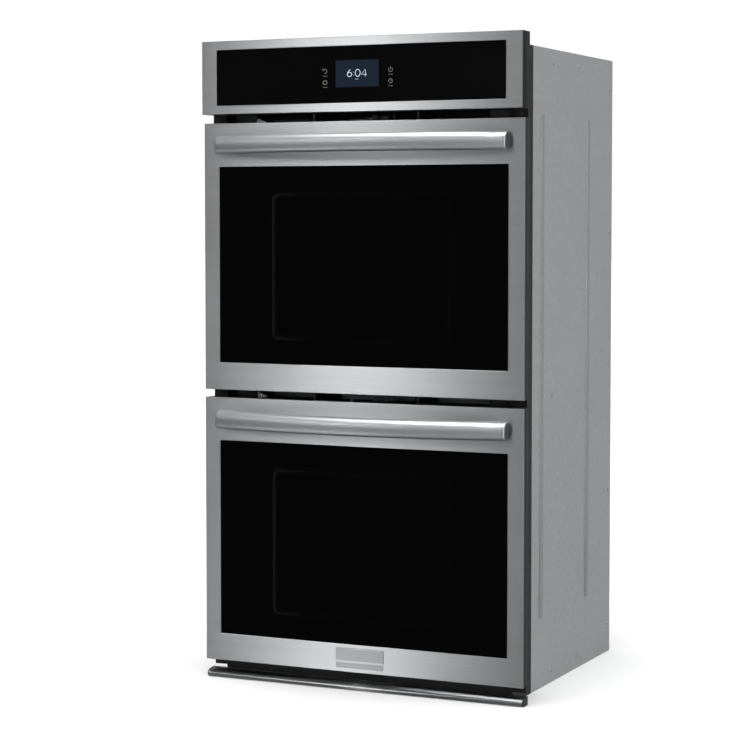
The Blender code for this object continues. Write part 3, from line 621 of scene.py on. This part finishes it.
def build_panel():
    """Control panel: the stainless frame, its dark end caps and the return under it."""
    low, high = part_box("panel_frame")
    glass_low, glass_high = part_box("panel_glass")
    lap = 0.004
    window = (glass_high.x - lap, glass_low.z + lap, glass_high.z - lap)
    shape = bmesh.new()
    add_face_sheet(shape, high.x, low.z, high.z, window, low.y, low.y + 0.0022, 0.0013)
    for z, other in ((high.z, high.z - 0.0012), (low.z, low.z + 0.0012)):
        add_box(shape, (-high.x + 0.0015, low.y + 0.0023, z), (high.x - 0.0015, high.y, other), 0.0003)
    piece("panel_front", shape, "chassis", "steel", ["panel_frame"])
    for side, sign in SIDES.items():
        shape = bmesh.new()
        inner, outer = sign * (high.x - 0.0013), sign * high.x
        raised = sign * (high.x + 0.0004)
        add_box(shape, (inner, low.y + 0.0024, low.z), (outer, high.y, high.z), 0.0004)
        add_box(shape, (inner, low.y + 0.016, low.z + 0.002), (raised, low.y + 0.026, high.z - 0.002), 0.0003)
        piece(f"panel_end_{side}", shape, "chassis", "satin")


def build_trim():
    """Bottom trim with its two-slope nose and dark end caps."""
    low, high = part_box("bottom_trim")
    front, back, top = low.y, high.y, high.z
    section = (
        (back, 0.0),
        (front + 0.0065, 0.0),
        (front + 0.0045, 0.0006),
        (front + 0.0006, 0.0056),
        (front, 0.0068),
        (front, 0.0082),
        (front + 0.0008, 0.0092),
        (front + 0.0066, 0.0138),
        (front + 0.0080, 0.0144),
        (back, top),
    )
    shape = bmesh.new()
    end = high.x - 0.0030
    loops = [[(x, y, z) for y, z in section] for x in (-end, end)]
    add_loops(shape, loops, capped=True)
    piece("trim_bar", shape, "chassis", "steel", ["bottom_trim"])
    middle_y, middle_z = (front + back) / 2, top / 2
    for side, sign in SIDES.items():
        shape = bmesh.new()
        loops = []
        for x, size in ((end + 0.0003, 1.0), (high.x - 0.0006, 1.0), (high.x, 0.92)):
            ring = [
                (sign * x, middle_y + (y - middle_y) * size, middle_z + (z - middle_z) * size)
                for y, z in section
            ]
            loops.append(ring)
        add_loops(shape, loops, capped=True)
        piece(f"trim_end_{side}", shape, "chassis", "paint")


def arc(centre, size, start, end, steps=14):
    """Points along an arc in a plane."""
    points = []
    for step in range(steps + 1):
        angle = math.radians(start + (end - start) * step / steps)
        points.append((centre[0] + size[0] * math.cos(angle), centre[1] + size[1] * math.sin(angle)))
    return points


def digit_strokes():
    """A clock time, in units of the digits' height."""
    six = arc((0.37, 0.31), (0.34, 0.31), 160, -200, 24)
    tail = [(0.045, 0.40), (0.10, 0.60), (0.26, 0.82), (0.50, 1.0)]
    nought = arc((1.66, 0.50), (0.38, 0.50), 90, 450, 28)
    four = [(2.86, 0.0), (2.86, 0.98), (2.24, 0.27), (3.06, 0.27)]
    dots = [[(1.00, z), (1.04, z)] for z in (0.20, 0.62)]
    return [six, tail, nought, four, *dots]


def build_display():
    """Display face, clock digits and touch symbols, bonded to the control glass."""
    low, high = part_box("display_module")
    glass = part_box("panel_glass")[0].y
    shape = bmesh.new()
    face = glass - 0.0002
    rings = [
        rectangle(high.x, low.z, high.z, glass - 0.00002, 0.0015),
        rectangle(high.x, low.z, high.z, face, 0.0015),
    ]
    add_loops(shape, rings, capped=True)
    piece("display_face", shape, "chassis", "screen")
    shape = bmesh.new()
    tall = 0.0136
    screen_tall = high.z - low.z
    left, foot = -0.0212, low.z + 0.385 * screen_tall
    for path in digit_strokes():
        add_tube(shape, [(left + x * tall, face, foot + z * tall) for x, z in path], 0.00068, 6)
    add_tube(shape, [(-0.0040, face, foot - 0.0052), (0.0030, face, foot - 0.0052)], 0.00035, 6)
    piece("display_digits", shape, "chassis", "digits")
    shape = bmesh.new()

    def mark(points, size=0.00036):
        add_tube(shape, [(x, glass - 0.0001, z) for x, z in points], size, 6)

    columns = {"left": -0.0690, "right": 0.0710}
    top, bottom = high.z - 0.39 * screen_tall, high.z - 0.81 * screen_tall
    x = columns["left"]
    mark(arc((x, top), (0.0042, 0.0042), 160, -110))
    mark([(x - 0.0058, top + 0.0050), (x - 0.0040, top + 0.0014), (x - 0.0010, top + 0.0030)])
    mark(arc((x, bottom), (0.0046, 0.0036), 0, 360))
    for turn in range(8):
        angle = math.pi * turn / 4
        near, far = (0.0042, 0.0033), (0.0056, 0.0048)
        mark([(x + part[0] * math.cos(angle), bottom + part[1] * math.sin(angle)) for part in (near, far)])
    x = columns["right"]
    mark(arc((x, top), (0.0042, 0.0042), 130, 410))
    mark([(x, top + 0.001), (x, top + 0.0056)])
    mark(arc((x, bottom), (0.0040, 0.0040), 0, 360))
    mark([(x, bottom), (x + 0.0020, bottom + 0.0020)])
    for x in columns.values():
        for z in (high.z - 0.57 * screen_tall, high.z - 0.99 * screen_tall):
            mark([(x - 0.0046, z), (x - 0.0008, z)])
            mark([(x + 0.0006, z), (x + 0.0046, z)])
    piece("touch_symbols", shape, "chassis", "icons")


def build_badge():
    """Blank framed badge on the lower door, with a blank bar under it."""
    foot = BASE["lower"]
    band = WINDOW["lower"][1] - foot
    shape = bmesh.new()

    def tablet(half, low, high, rise):
        rings = [
            rectangle(half, low, high, FACE + 0.0002, 0.0012),
            rectangle(half, low, high, FACE - rise + 0.0002, 0.0012),
            rectangle(half - 0.0003, low + 0.0003, high - 0.0003, FACE - rise, 0.0010),
        ]
        add_loops(shape, rings, capped=True, material=1)

    low, high = foot + 0.40 * band, foot + 0.86 * band
    tablet(0.0520, low, high, 0.0009)
    rim = 0.0016
    for x0, x1, z0, z1 in (
        (-0.0520, 0.0520, high - rim, high),
        (-0.0520, 0.0520, low, low + rim),
        (-0.0520, -0.0520 + rim, low, high),
        (0.0520 - rim, 0.0520, low, high),
    ):
        add_box(shape, (x0, FACE - 0.0013, z0), (x1, FACE - 0.0002, z1), 0.0004)
    tablet(0.0510, foot + 0.14 * band, foot + 0.33 * band, 0.0009)
    piece("badge_plate", shape, "door_lower", ("steel", "badge"), smooth=20)


# Doors' inside and edges, gaskets


def add_screw(shape, centre, axis, radius=0.0035, height=0.0012, material=0):
    """A domed screw head with a shallow round recess."""
    profile = [
        (radius, 0.0),
        (radius, height * 0.35),
        (radius * 0.86, height * 0.75),
        (radius * 0.55, height),
        (radius * 0.34, height),
        (radius * 0.30, height * 0.55),
    ]
    add_turned(shape, profile, centre, axis, 12, material)


def add_screws(shape, places, axis, radius=0.0042, height=0.0020):
    """Screw heads wherever three lists of coordinates meet."""
    for place in itertools.product(*places):
        add_screw(shape, place, axis, radius, height)


def build_door_edges(oven):
    """Raised strips down the sides of a door, and the screws that hold its back on."""
    low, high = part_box(f"door_liner_{oven}")
    body = f"door_{oven}"
    for side, sign in SIDES.items():
        shape = bmesh.new()
        inner, outer = sign * (high.x - 0.0002), sign * DOOR_HALF
        add_box(shape, (inner, low.y + 0.0075, low.z + 0.006), (outer, low.y + 0.0145, high.z - 0.006), 0.0002)
        piece(f"door_edge_{oven}_{side}", shape, body, "paint")
    shape = bmesh.new()
    back = FLANGE - 0.003
    for sign in SIDES.values():
        for z in (0.196, 0.30, 0.40, 0.505):
            add_screw(shape, (sign * 0.327, back, BASE[oven] + z), (0, 1, 0))
    for x in (-0.22, -0.11, 0.11, 0.22):
        add_screw(shape, (x, back, BASE[oven] + 0.510), (0, 1, 0))
        add_screw(shape, (x, back, BASE[oven] + 0.014), (0, 1, 0))
    piece(f"door_screws_{oven}", shape, body, "bright")


def build_gasket(oven):
    """Braided tube seal round the oven mouth."""
    low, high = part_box(f"door_gasket_{oven}")
    middle_y, half_y = (low.y + high.y) / 2, (high.y - low.y) / 2
    section = []
    for step in range(12):
        angle = 2 * math.pi * step / 12
        across = math.copysign(abs(math.cos(angle)) ** 0.7, math.cos(angle)) * 0.0048
        deep = math.copysign(abs(math.sin(angle)) ** 0.7, math.sin(angle)) * half_y
        section.append((0.0049 + across, middle_y + deep))
    shape = bmesh.new()
    add_loops(shape, frames(high.x, low.z, high.z, section, 0.022, 8), closed=True)
    piece(f"gasket_tube_{oven}", shape, "chassis", "seal", [f"door_gasket_{oven}"], 80)


# Inside the ovens


def build_rack(oven, level):
    """Welded wire rack with a raised stop at the back."""
    name = f"rack_{oven}_{level}"
    low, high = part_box(name)
    z = (low.z + high.z) / 2
    frame_wire, rod = 0.0022, 0.0014
    x, front, back = high.x - frame_wire, low.y + frame_wire, high.y - frame_wire
    shape = bmesh.new()
    corners = [(-x, front, z), (x, front, z), (x, back, z), (-x, back, z)]
    add_tube(shape, eased(corners, 0.016, 5, True), frame_wire, 8, True)
    for share in (0.30, 0.70):
        y = front + (back - front) * share
        add_tube(shape, [(-x, y, z), (x, y, z)], 0.0020, 8)
    rods = 19
    lift = z + frame_wire + rod * 0.6
    for number in range(rods):
        at = (x - 0.014) * (2 * number / (rods - 1) - 1)
        path = [(front, z + 0.0015), (front + 0.006, lift), (back - 0.006, lift), (back, z + 0.0015)]
        path = [(at, y, height) for y, height in path]
        add_tube(shape, eased(path, 0.003, 2), rod, 6)
    end, rise = x - 0.02, z + 0.020
    stop = [(-end, back, z), (-end, back, rise), (end, back, rise), (end, back, z)]
    add_tube(shape, eased(stop, 0.008, 4), 0.0018, 8)
    piece(name + "_wires", shape, name, "chrome", [name], 60)


def build_broil(oven):
    """Broil element with its terminals, flange plate and hangers."""
    low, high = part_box(f"broil_element_{oven}")
    radius = (high.z - low.z) / 2
    z = (low.z + high.z) / 2
    near, far = low.y + radius, high.y
    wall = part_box(f"fan_cover_{oven}")[1].y + 0.0003
    rows = [(0.065, near), (0.065, near + 0.290), (0.140, near + 0.290), (0.140, near)]
    rows += [(0.215, near), (0.215, near + 0.342), (0.035, near + 0.342), (0.035, far)]
    path = [(-x, y, z) for x, y in reversed(rows)] + [(x, y, z) for x, y in rows]
    shape = bmesh.new()
    add_tube(shape, eased(path, 0.028, 7), radius, 12)
    for sign in SIDES.values():
        stud = [(0.0046, -0.012), (0.0046, -0.001), (0.0037, 0.0)]
        add_turned(shape, stud, (sign * 0.035, wall, z), (0, 1, 0), 14)
        for y in (near + 0.05, near + 0.24):
            hanger = [(sign * 0.140, y, z), (sign * 0.140, y, z + 0.020), (sign * 0.150, y, z + 0.0285)]
            add_tube(shape, eased(hanger, 0.003, 2), 0.0011, 6)
    add_box(shape, (-0.050, wall - 0.0028, z - 0.010), (0.050, wall - 0.0008, z + 0.010), 0.0006)
    piece(f"broil_tube_{oven}", shape, "chassis", "element", [f"broil_element_{oven}"], 60)


def build_fan_guard(oven):
    """Ringed guard over the fan's inlet, and the screws of its cover."""
    low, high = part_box(f"fan_cover_{oven}")
    centre_z = (low.z + high.z) / 2
    face = low.y
    shape = bmesh.new()

    def ring(radius, wire_radius, y):
        points = [(across, y, centre_z + up) for across, up in circle(radius, 40)]
        add_tube(shape, points, wire_radius, 8, True)

    for radius in (0.016, 0.028, 0.040, 0.052):
        ring(radius, 0.0011, face - 0.0020)
    ring(0.0585, 0.0018, face - 0.0016)
    for spoke in range(8):
        angle = math.pi * spoke / 4 + math.pi / 8
        inner = (0.016 * math.cos(angle), face - 0.0032, centre_z + 0.016 * math.sin(angle))
        outer = (0.0600 * math.cos(angle), face - 0.0032, centre_z + 0.0600 * math.sin(angle))
        add_tube(shape, [inner, outer], 0.0011, 6)
    places = ((-0.112, 0.112), [face - 0.0001], (centre_z - 0.112, centre_z + 0.112))
    add_screws(shape, places, (0, -1, 0), height=0.0022)
    piece(f"fan_guard_{oven}", shape, "chassis", "chrome", (), 60)


def build_lamp(oven):
    """Ribbed lamp lens in a metal ring."""
    low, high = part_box(f"oven_lamp_{oven}")
    x, z, wall = (low.x + high.x) / 2, (low.z + high.z) / 2, high.y
    outer = high.x - x
    profile = [(outer, 0.0), (outer, 0.009), (outer * 0.97, 0.0125)]
    for rib in range(5):
        share = 0.90 - rib * 0.16
        profile.append((outer * share, 0.0150 + rib * 0.0006))
        profile.append((outer * (share - 0.07), 0.0138 + rib * 0.0007))
    profile.append((outer * 0.06, 0.0178))
    shape = bmesh.new()
    add_turned(shape, profile, (x, wall, z), (0, -1, 0), 36)
    piece(f"lamp_lens_{oven}", shape, "chassis", "lens", [f"oven_lamp_{oven}"], 25)
    shape = bmesh.new()
    steps = ((0.0004, 0.0), (0.0045, 0.0), (0.0045, 0.003), (0.0028, 0.0048), (0.0004, 0.0048))
    section = [(outer + out, along) for out, along in steps]
    loops = [[(x + a, wall - along, z + b) for a, b in circle(radius, 36)] for radius, along in section]
    add_loops(shape, loops, closed=True)
    piece(f"lamp_ring_{oven}", shape, "chassis", "chrome")


# Vent gaps


def build_gap_details(oven, ceiling):
    """What shows in the vent gap over a door: end plates, switch clip, latch plate and louvre bars."""
    top = DOOR_TOP[oven]
    shape = bmesh.new()
    for sign in SIDES.values():
        foot, head = top - 0.0060, ceiling - 0.0006
        add_box(shape, (sign * 0.252, FLANGE + 0.0230, foot), (sign * 0.298, FLANGE + 0.0240, head), 0.0003)
        add_screw(shape, (sign * 0.289, FLANGE + 0.0230, (top + ceiling) / 2), (0, -1, 0), 0.0028, 0.0009)
    for x in (-0.112, 0.112):
        near, far = (x - 0.0022, FLANGE - 0.0012, top + 0.0006), (x + 0.0022, FLANGE - 0.0003, ceiling - 0.0006)
        add_box(shape, near, far, 0.0003)
    piece(f"gap_plates_{oven}", shape, "chassis", "plate")
    shape = bmesh.new()
    z = top + 0.0008
    clip = ((-0.2430, 0.0), (-0.2230, 0.0), (-0.2230, 0.0020))
    clip += ((-0.2350, 0.0060), (-0.2380, 0.0092), (-0.2430, 0.0092))
    loops = [[(x, y, z + up) for x, up in clip] for y in (FLANGE + 0.0080, FLANGE + 0.0105)]
    add_loops(shape, loops, capped=True)
    add_box(shape, (-0.2420, FLANGE + 0.0080, z), (-0.2300, FLANGE + 0.0135, z + 0.0012), 0.0003)
    piece(f"switch_clip_{oven}", shape, "chassis", "bright")
    shape = bmesh.new()
    for x0, x1, height in ((0.012, 0.024, 0.0100), (0.030, 0.046, 0.0085), (0.056, 0.060, 0.0110)):
        add_box(shape, (x0, FLANGE + 0.006, z), (x1, FLANGE + 0.0075, z + height), 0.0003)
    piece(f"latch_plate_{oven}", shape, "chassis", "plate")


# Outside of the body


def build_body_details():
    """Beads and screws on the side walls and the top sheet, and a cover beside the wiring gland."""
    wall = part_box("top_cover")[1].x + 0.0018
    cover_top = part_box("top_cover")[1].z
    for side, sign in SIDES.items():
        shape = bmesh.new()
        inner, outer = sign * (wall - 0.0005), sign * (wall + 0.0022)
        for y in (FLANGE + 0.150, FLANGE + 0.420):
            add_box(shape, (inner, y - 0.009, 0.14), (outer, y + 0.009, 1.13), 0.0018)
        edges = ([sign * wall], EDGE_ROWS, (0.060, 0.350, 0.620, 0.900, 1.200))
        inside = ([sign * wall], (FLANGE + 0.210, FLANGE + 0.360), (0.5775, 1.235, 0.025))
        add_screws(shape, edges, (sign, 0, 0))
        add_screws(shape, inside, (sign, 0, 0))
        piece(f"side_beads_{side}", shape, "chassis", "galvanised")
        shape = bmesh.new()
        add_screws(shape, ([sign * 0.325], [FLANGE - 0.0001], FLANGE_HOLES), (0, -1, 0), 0.0040, 0.0016)
        piece(f"flange_screws_{side}", shape, "chassis", "paint")
    shape = bmesh.new()
    under, over = cover_top - 0.0005, cover_top + 0.0025
    for x in (-0.16, 0.0, 0.16):
        add_box(shape, (x - 0.010, FLANGE + 0.10, under), (x + 0.010, REAR - 0.15, over), 0.0018)
    add_screws(shape, ((-0.295, -0.10, 0.10, 0.295), EDGE_ROWS, [cover_top]), (0, 0, 1))
    piece("top_beads", shape, "chassis", "galvanised")
    shape = bmesh.new()
    under = cover_top - 0.0004
    add_box(shape, (-0.145, REAR - 0.105, under), (-0.045, REAR - 0.030, cover_top + 0.0100), 0.0020)
    add_box(shape, (-0.157, REAR - 0.100, under), (-0.033, REAR - 0.035, cover_top + 0.0012), 0.0004)
    add_screws(shape, ((-0.151, -0.039), [REAR - 0.0675], [cover_top + 0.0012]), (0, 0, 1), 0.0038)
    piece("wiring_cover", shape, "chassis", "bright")


def build_gland():
    """Threaded gland with its hexagon nut, hollow."""
    low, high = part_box("conduit_gland")
    cover_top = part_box("top_cover")[1].z
    x, y = (low.x + high.x) / 2, (low.y + high.y) / 2

    def add_sleeve(shape, section, sides):
        loops = [[(x + a, y + b, z) for a, b in circle(radius, sides)] for radius, z in section]
        add_loops(shape, loops, closed=True)

    shape = bmesh.new()
    outside = [(0.0078, low.z), (0.0098, low.z)]
    z = cover_top + 0.0086
    while z < high.z - 0.0016:
        outside += [(0.0093, z), (0.0100, z + 0.0007)]
        z += 0.0014
    outside += [(0.0092, high.z), (0.0078, high.z)]
    add_sleeve(shape, outside, 28)
    nut = [(0.0101, cover_top + 0.0004), (0.0148, cover_top + 0.0004), (0.0158, cover_top + 0.0014)]
    nut += [(0.0158, cover_top + 0.0070), (0.0148, cover_top + 0.0080), (0.0101, cover_top + 0.0080)]
    add_sleeve(shape, nut, 6)
    piece("gland_sleeve", shape, "chassis", "bright", ["conduit_gland"], 30)


def build_rear():
    """Back sheet with its vent slots, pressed beads and screws."""
    low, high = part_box("rear_panel")
    half = high.x
    near, face = low.y, high.y - 0.0008
    columns = [(column - 2.5) * 0.080 for column in range(6)]
    rows = (0.080, 1.190)
    x_cuts = sorted([-half, half] + [c + side * 0.030 for c in columns for side in (-1, 1)])
    z_cuts = sorted([low.z, high.z] + [row + side * 0.003 for row in rows for side in (-1, 1)])
    holes = {(2 * column + 1, 2 * row + 1) for column in range(6) for row in range(2)}
    shape = bmesh.new()

    def quad(*points):
        shape.faces.new([shape.verts.new(point) for point in points])

    def walls(corners):
        for (ax, az), (bx, bz) in zip(corners, corners[1:] + corners[:1]):
            quad((ax, near, az), (bx, near, bz), (bx, face, bz), (ax, face, az))

    for i, (x0, x1) in enumerate(zip(x_cuts, x_cuts[1:])):
        for k, (z0, z1) in enumerate(zip(z_cuts, z_cuts[1:])):
            if (i, k) in holes:
                walls([(x0, z0), (x1, z0), (x1, z1), (x0, z1)])
                continue
            for y in (near, face):
                quad((x0, y, z0), (x1, y, z0), (x1, y, z1), (x0, y, z1))
    walls([(-half, low.z), (half, low.z), (half, high.z), (-half, high.z)])
    bmesh.ops.remove_doubles(shape, verts=shape.verts, dist=0.00001)
    for x in (-0.20, 0.0, 0.20):
        for z0, z1 in ((0.13, 0.54), (0.63, 1.13)):
            add_box(shape, (x - 0.012, face - 0.0003, z0), (x + 0.012, high.y, z1), 0.00035)
    sides = ((-0.298, 0.298), [face], (0.030, 0.300, 0.5775, 0.860, 1.232))
    ends = ((-0.15, 0.15), [face], (0.030, 1.232))
    for places in (sides, ends):
        add_screws(shape, places, (0, 1, 0), height=0.0008)
    piece("rear_sheet", shape, "chassis", "galvanised", ["rear_panel"])


for oven_name in OVENS:
    build_door_front(oven_name)
    build_handle(oven_name)
    build_door_edges(oven_name)
    build_gasket(oven_name)
    for rack_level in ("low", "high"):
        build_rack(oven_name, rack_level)
    build_broil(oven_name)
    build_fan_guard(oven_name)
    build_lamp(oven_name)
build_gap_details("lower", BASE["upper"])
build_gap_details("upper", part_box("panel_frame")[0].z)
build_panel()
build_trim()
build_display()
build_badge()
build_body_details()
build_gland()
build_rear()


# Finishes of the CAD nodes that stay

NODE_LOOKS = {
    "galvanised": ("rear_panel", "divider_deck", "conduit_gland", "blower_housing",
                   "blower_wheel", "fan_blade", "latch_hook", "hinge_arm", "hinge_channel"),
    "side": ("side_panel", "base_pan", "top_cover"),
    "paint": ("door_liner",),
    "matte": ("vent_duct",),
    "glass": ("panel_glass",),
    "screen": ("display_module",),
    "board": ("control_board",),
    "enamel": ("cavity_liner", "fan_cover"),
    "seal": ("door_gasket",),
    "chrome": ("rack_",),
    "element": ("broil_element", "bake_element"),
    "motor": ("fan_motor", "temperature_probe"),
    "lens": ("oven_lamp",),
    "white": ("switch_plunger",),
    "clear": ("inner_glass",),
    "window_lower": ("door_glass_lower",),
    "window_upper": ("door_glass_upper",),
}


for look, starts in NODE_LOOKS.items():
    for node_name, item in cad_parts.items():
        if node_name.startswith(starts):
            item.data.materials.clear()
            item.data.materials.append(MATERIALS[look])


# Stage, light and camera


FLOOR_HALF = 40.0
# Strengths of the tall strips above and below the horizon, and how far they lean.
ABOVE, BELOW, LEAN = 1.0, 0.65, 0.02
AROUND = {"front": 0.08, "back": 0.42}
# Each strip's middle and half width, as the x of a direction, and its strength.
STRIPS = (
    (-0.4295, 0.020, 29.5),
    (-0.345, 0.070, 0.35),
    (0.05, 0.13, 2.6),
    (-0.70, 0.10, 2.6),
    (0.70, 0.10, 2.6),
)
LENS = 106.43
SHIFT = -0.05
CAMERA_AT = (1.812, -4.1216, 0.9305)
CAMERA_TILT, CAMERA_TURN = 3.025, 24.914


def build_floor():
    """Pale floor. Polished metal doesn't mirror it."""
    made = Shading("floor_white", 0.9)
    cloud = made.noise(1.5, 2.0)
    made.colour(made.blend(cloud, rgb(0.88, 0.88, 0.88), rgb(0.90, 0.90, 0.90)))
    mesh = bpy.data.meshes.new("floor")
    shape = bmesh.new()
    bmesh.ops.create_grid(shape, x_segments=1, y_segments=1, size=FLOOR_HALF)
    shape.to_mesh(mesh)
    shape.free()
    mesh.materials.append(made.material)
    floor = bpy.data.objects.new("floor", mesh)
    floor.location.z = -0.0005
    floor.visible_glossy = False
    floor.visible_shadow = False
    bpy.context.scene.collection.objects.link(floor)


def softbox(name, position, target, width, height, strength):
    """A rectangular area light aimed at a point."""
    data = bpy.data.lights.new(name, "AREA")
    data.shape = "RECTANGLE"
    data.size = width
    data.size_y = height
    data.energy = strength
    item = bpy.data.objects.new(name, data)
    item.location = position
    aim = Vector(target) - Vector(position)
    item.rotation_euler = aim.to_track_quat("-Z", "Y").to_euler()
    bpy.context.scene.collection.objects.link(item)


def build_world():
    """White behind the object; round it, a dim studio with tall soft strips in front."""
    world = bpy.data.worlds.new("studio")
    bpy.context.scene.world = world
    world.use_nodes = True
    world.node_tree.nodes.clear()
    made = Nodes(world.node_tree)
    way = made.node("ShaderNodeTexCoord").outputs["Generated"]
    split = made.node("ShaderNodeSeparateXYZ", {"Vector": way})
    x, y, z = (split.outputs[axis] for axis in "XYZ")
    level = made.spread(y, AROUND["front"], AROUND["back"], -0.5, 1.0)
    ahead = made.spread(y, 1.0, 0.0, -0.15, 0.05)
    off_level = made.math("ABSOLUTE", made.math("ADD", z, 0.05))
    clear = made.spread(off_level, 0.0, 1.0, 0.19, 0.30, "SMOOTHSTEP")
    low = made.spread(off_level, 1.0, 0.0, 0.45, 0.80, "SMOOTHSTEP")
    window = made.math("MULTIPLY", made.math("MULTIPLY", clear, low), ahead)
    window = made.math("MULTIPLY", window, made.spread(z, BELOW, ABOVE, -0.2, 0.1))
    lean = made.math("MULTIPLY", made.math("MINIMUM", z, 0.0), LEAN)
    for centre, half, strength in STRIPS:
        aside = made.math("ABSOLUTE", made.math("ADD", made.math("SUBTRACT", x, centre), lean))
        strip = made.spread(aside, strength, 0.0, 0.0, half, "SMOOTHSTEP")
        level = made.math("ADD", level, made.math("MULTIPLY", strip, window))
    around = made.node("ShaderNodeBackground", {"Strength": level})
    seen = made.node("ShaderNodeBackground", {"Color": rgb(1.0, 1.0, 1.0), "Strength": 1.02})
    direct = made.node("ShaderNodeLightPath").outputs["Is Camera Ray"]
    inputs = {0: direct, 1: around.outputs["Background"], 2: seen.outputs["Background"]}
    mix = made.node("ShaderNodeMixShader", inputs)
    made.node("ShaderNodeOutputWorld", {"Surface": mix.outputs["Shader"]})


def build_camera():
    """Camera at the photograph's angle."""
    data = bpy.data.cameras.new("camera")
    data.lens = LENS
    data.sensor_width = 36.0
    data.shift_y = SHIFT
    data.clip_start = 0.1
    data.clip_end = 60.0
    item = bpy.data.objects.new("camera", data)
    item.location = CAMERA_AT
    item.rotation_euler = (math.radians(90 - CAMERA_TILT), 0.0, math.radians(CAMERA_TURN))
    bpy.context.scene.collection.objects.link(item)
    bpy.context.scene.camera = item


build_floor()
softbox("side_strip", (1.05, -1.05, 0.80), (0.0, FACE, 0.70), 0.25, 2.0, 5.0)
overhead = bpy.data.lights.new("overhead", "SUN")
overhead.energy = 3.7
overhead.angle = math.radians(40)
overhead_item = bpy.data.objects.new("overhead", overhead)
overhead_item.rotation_euler = (math.radians(6), 0.0, 0.0)
bpy.context.scene.collection.objects.link(overhead_item)
build_world()
build_camera()
bpy.context.scene.view_settings.view_transform = "Standard"
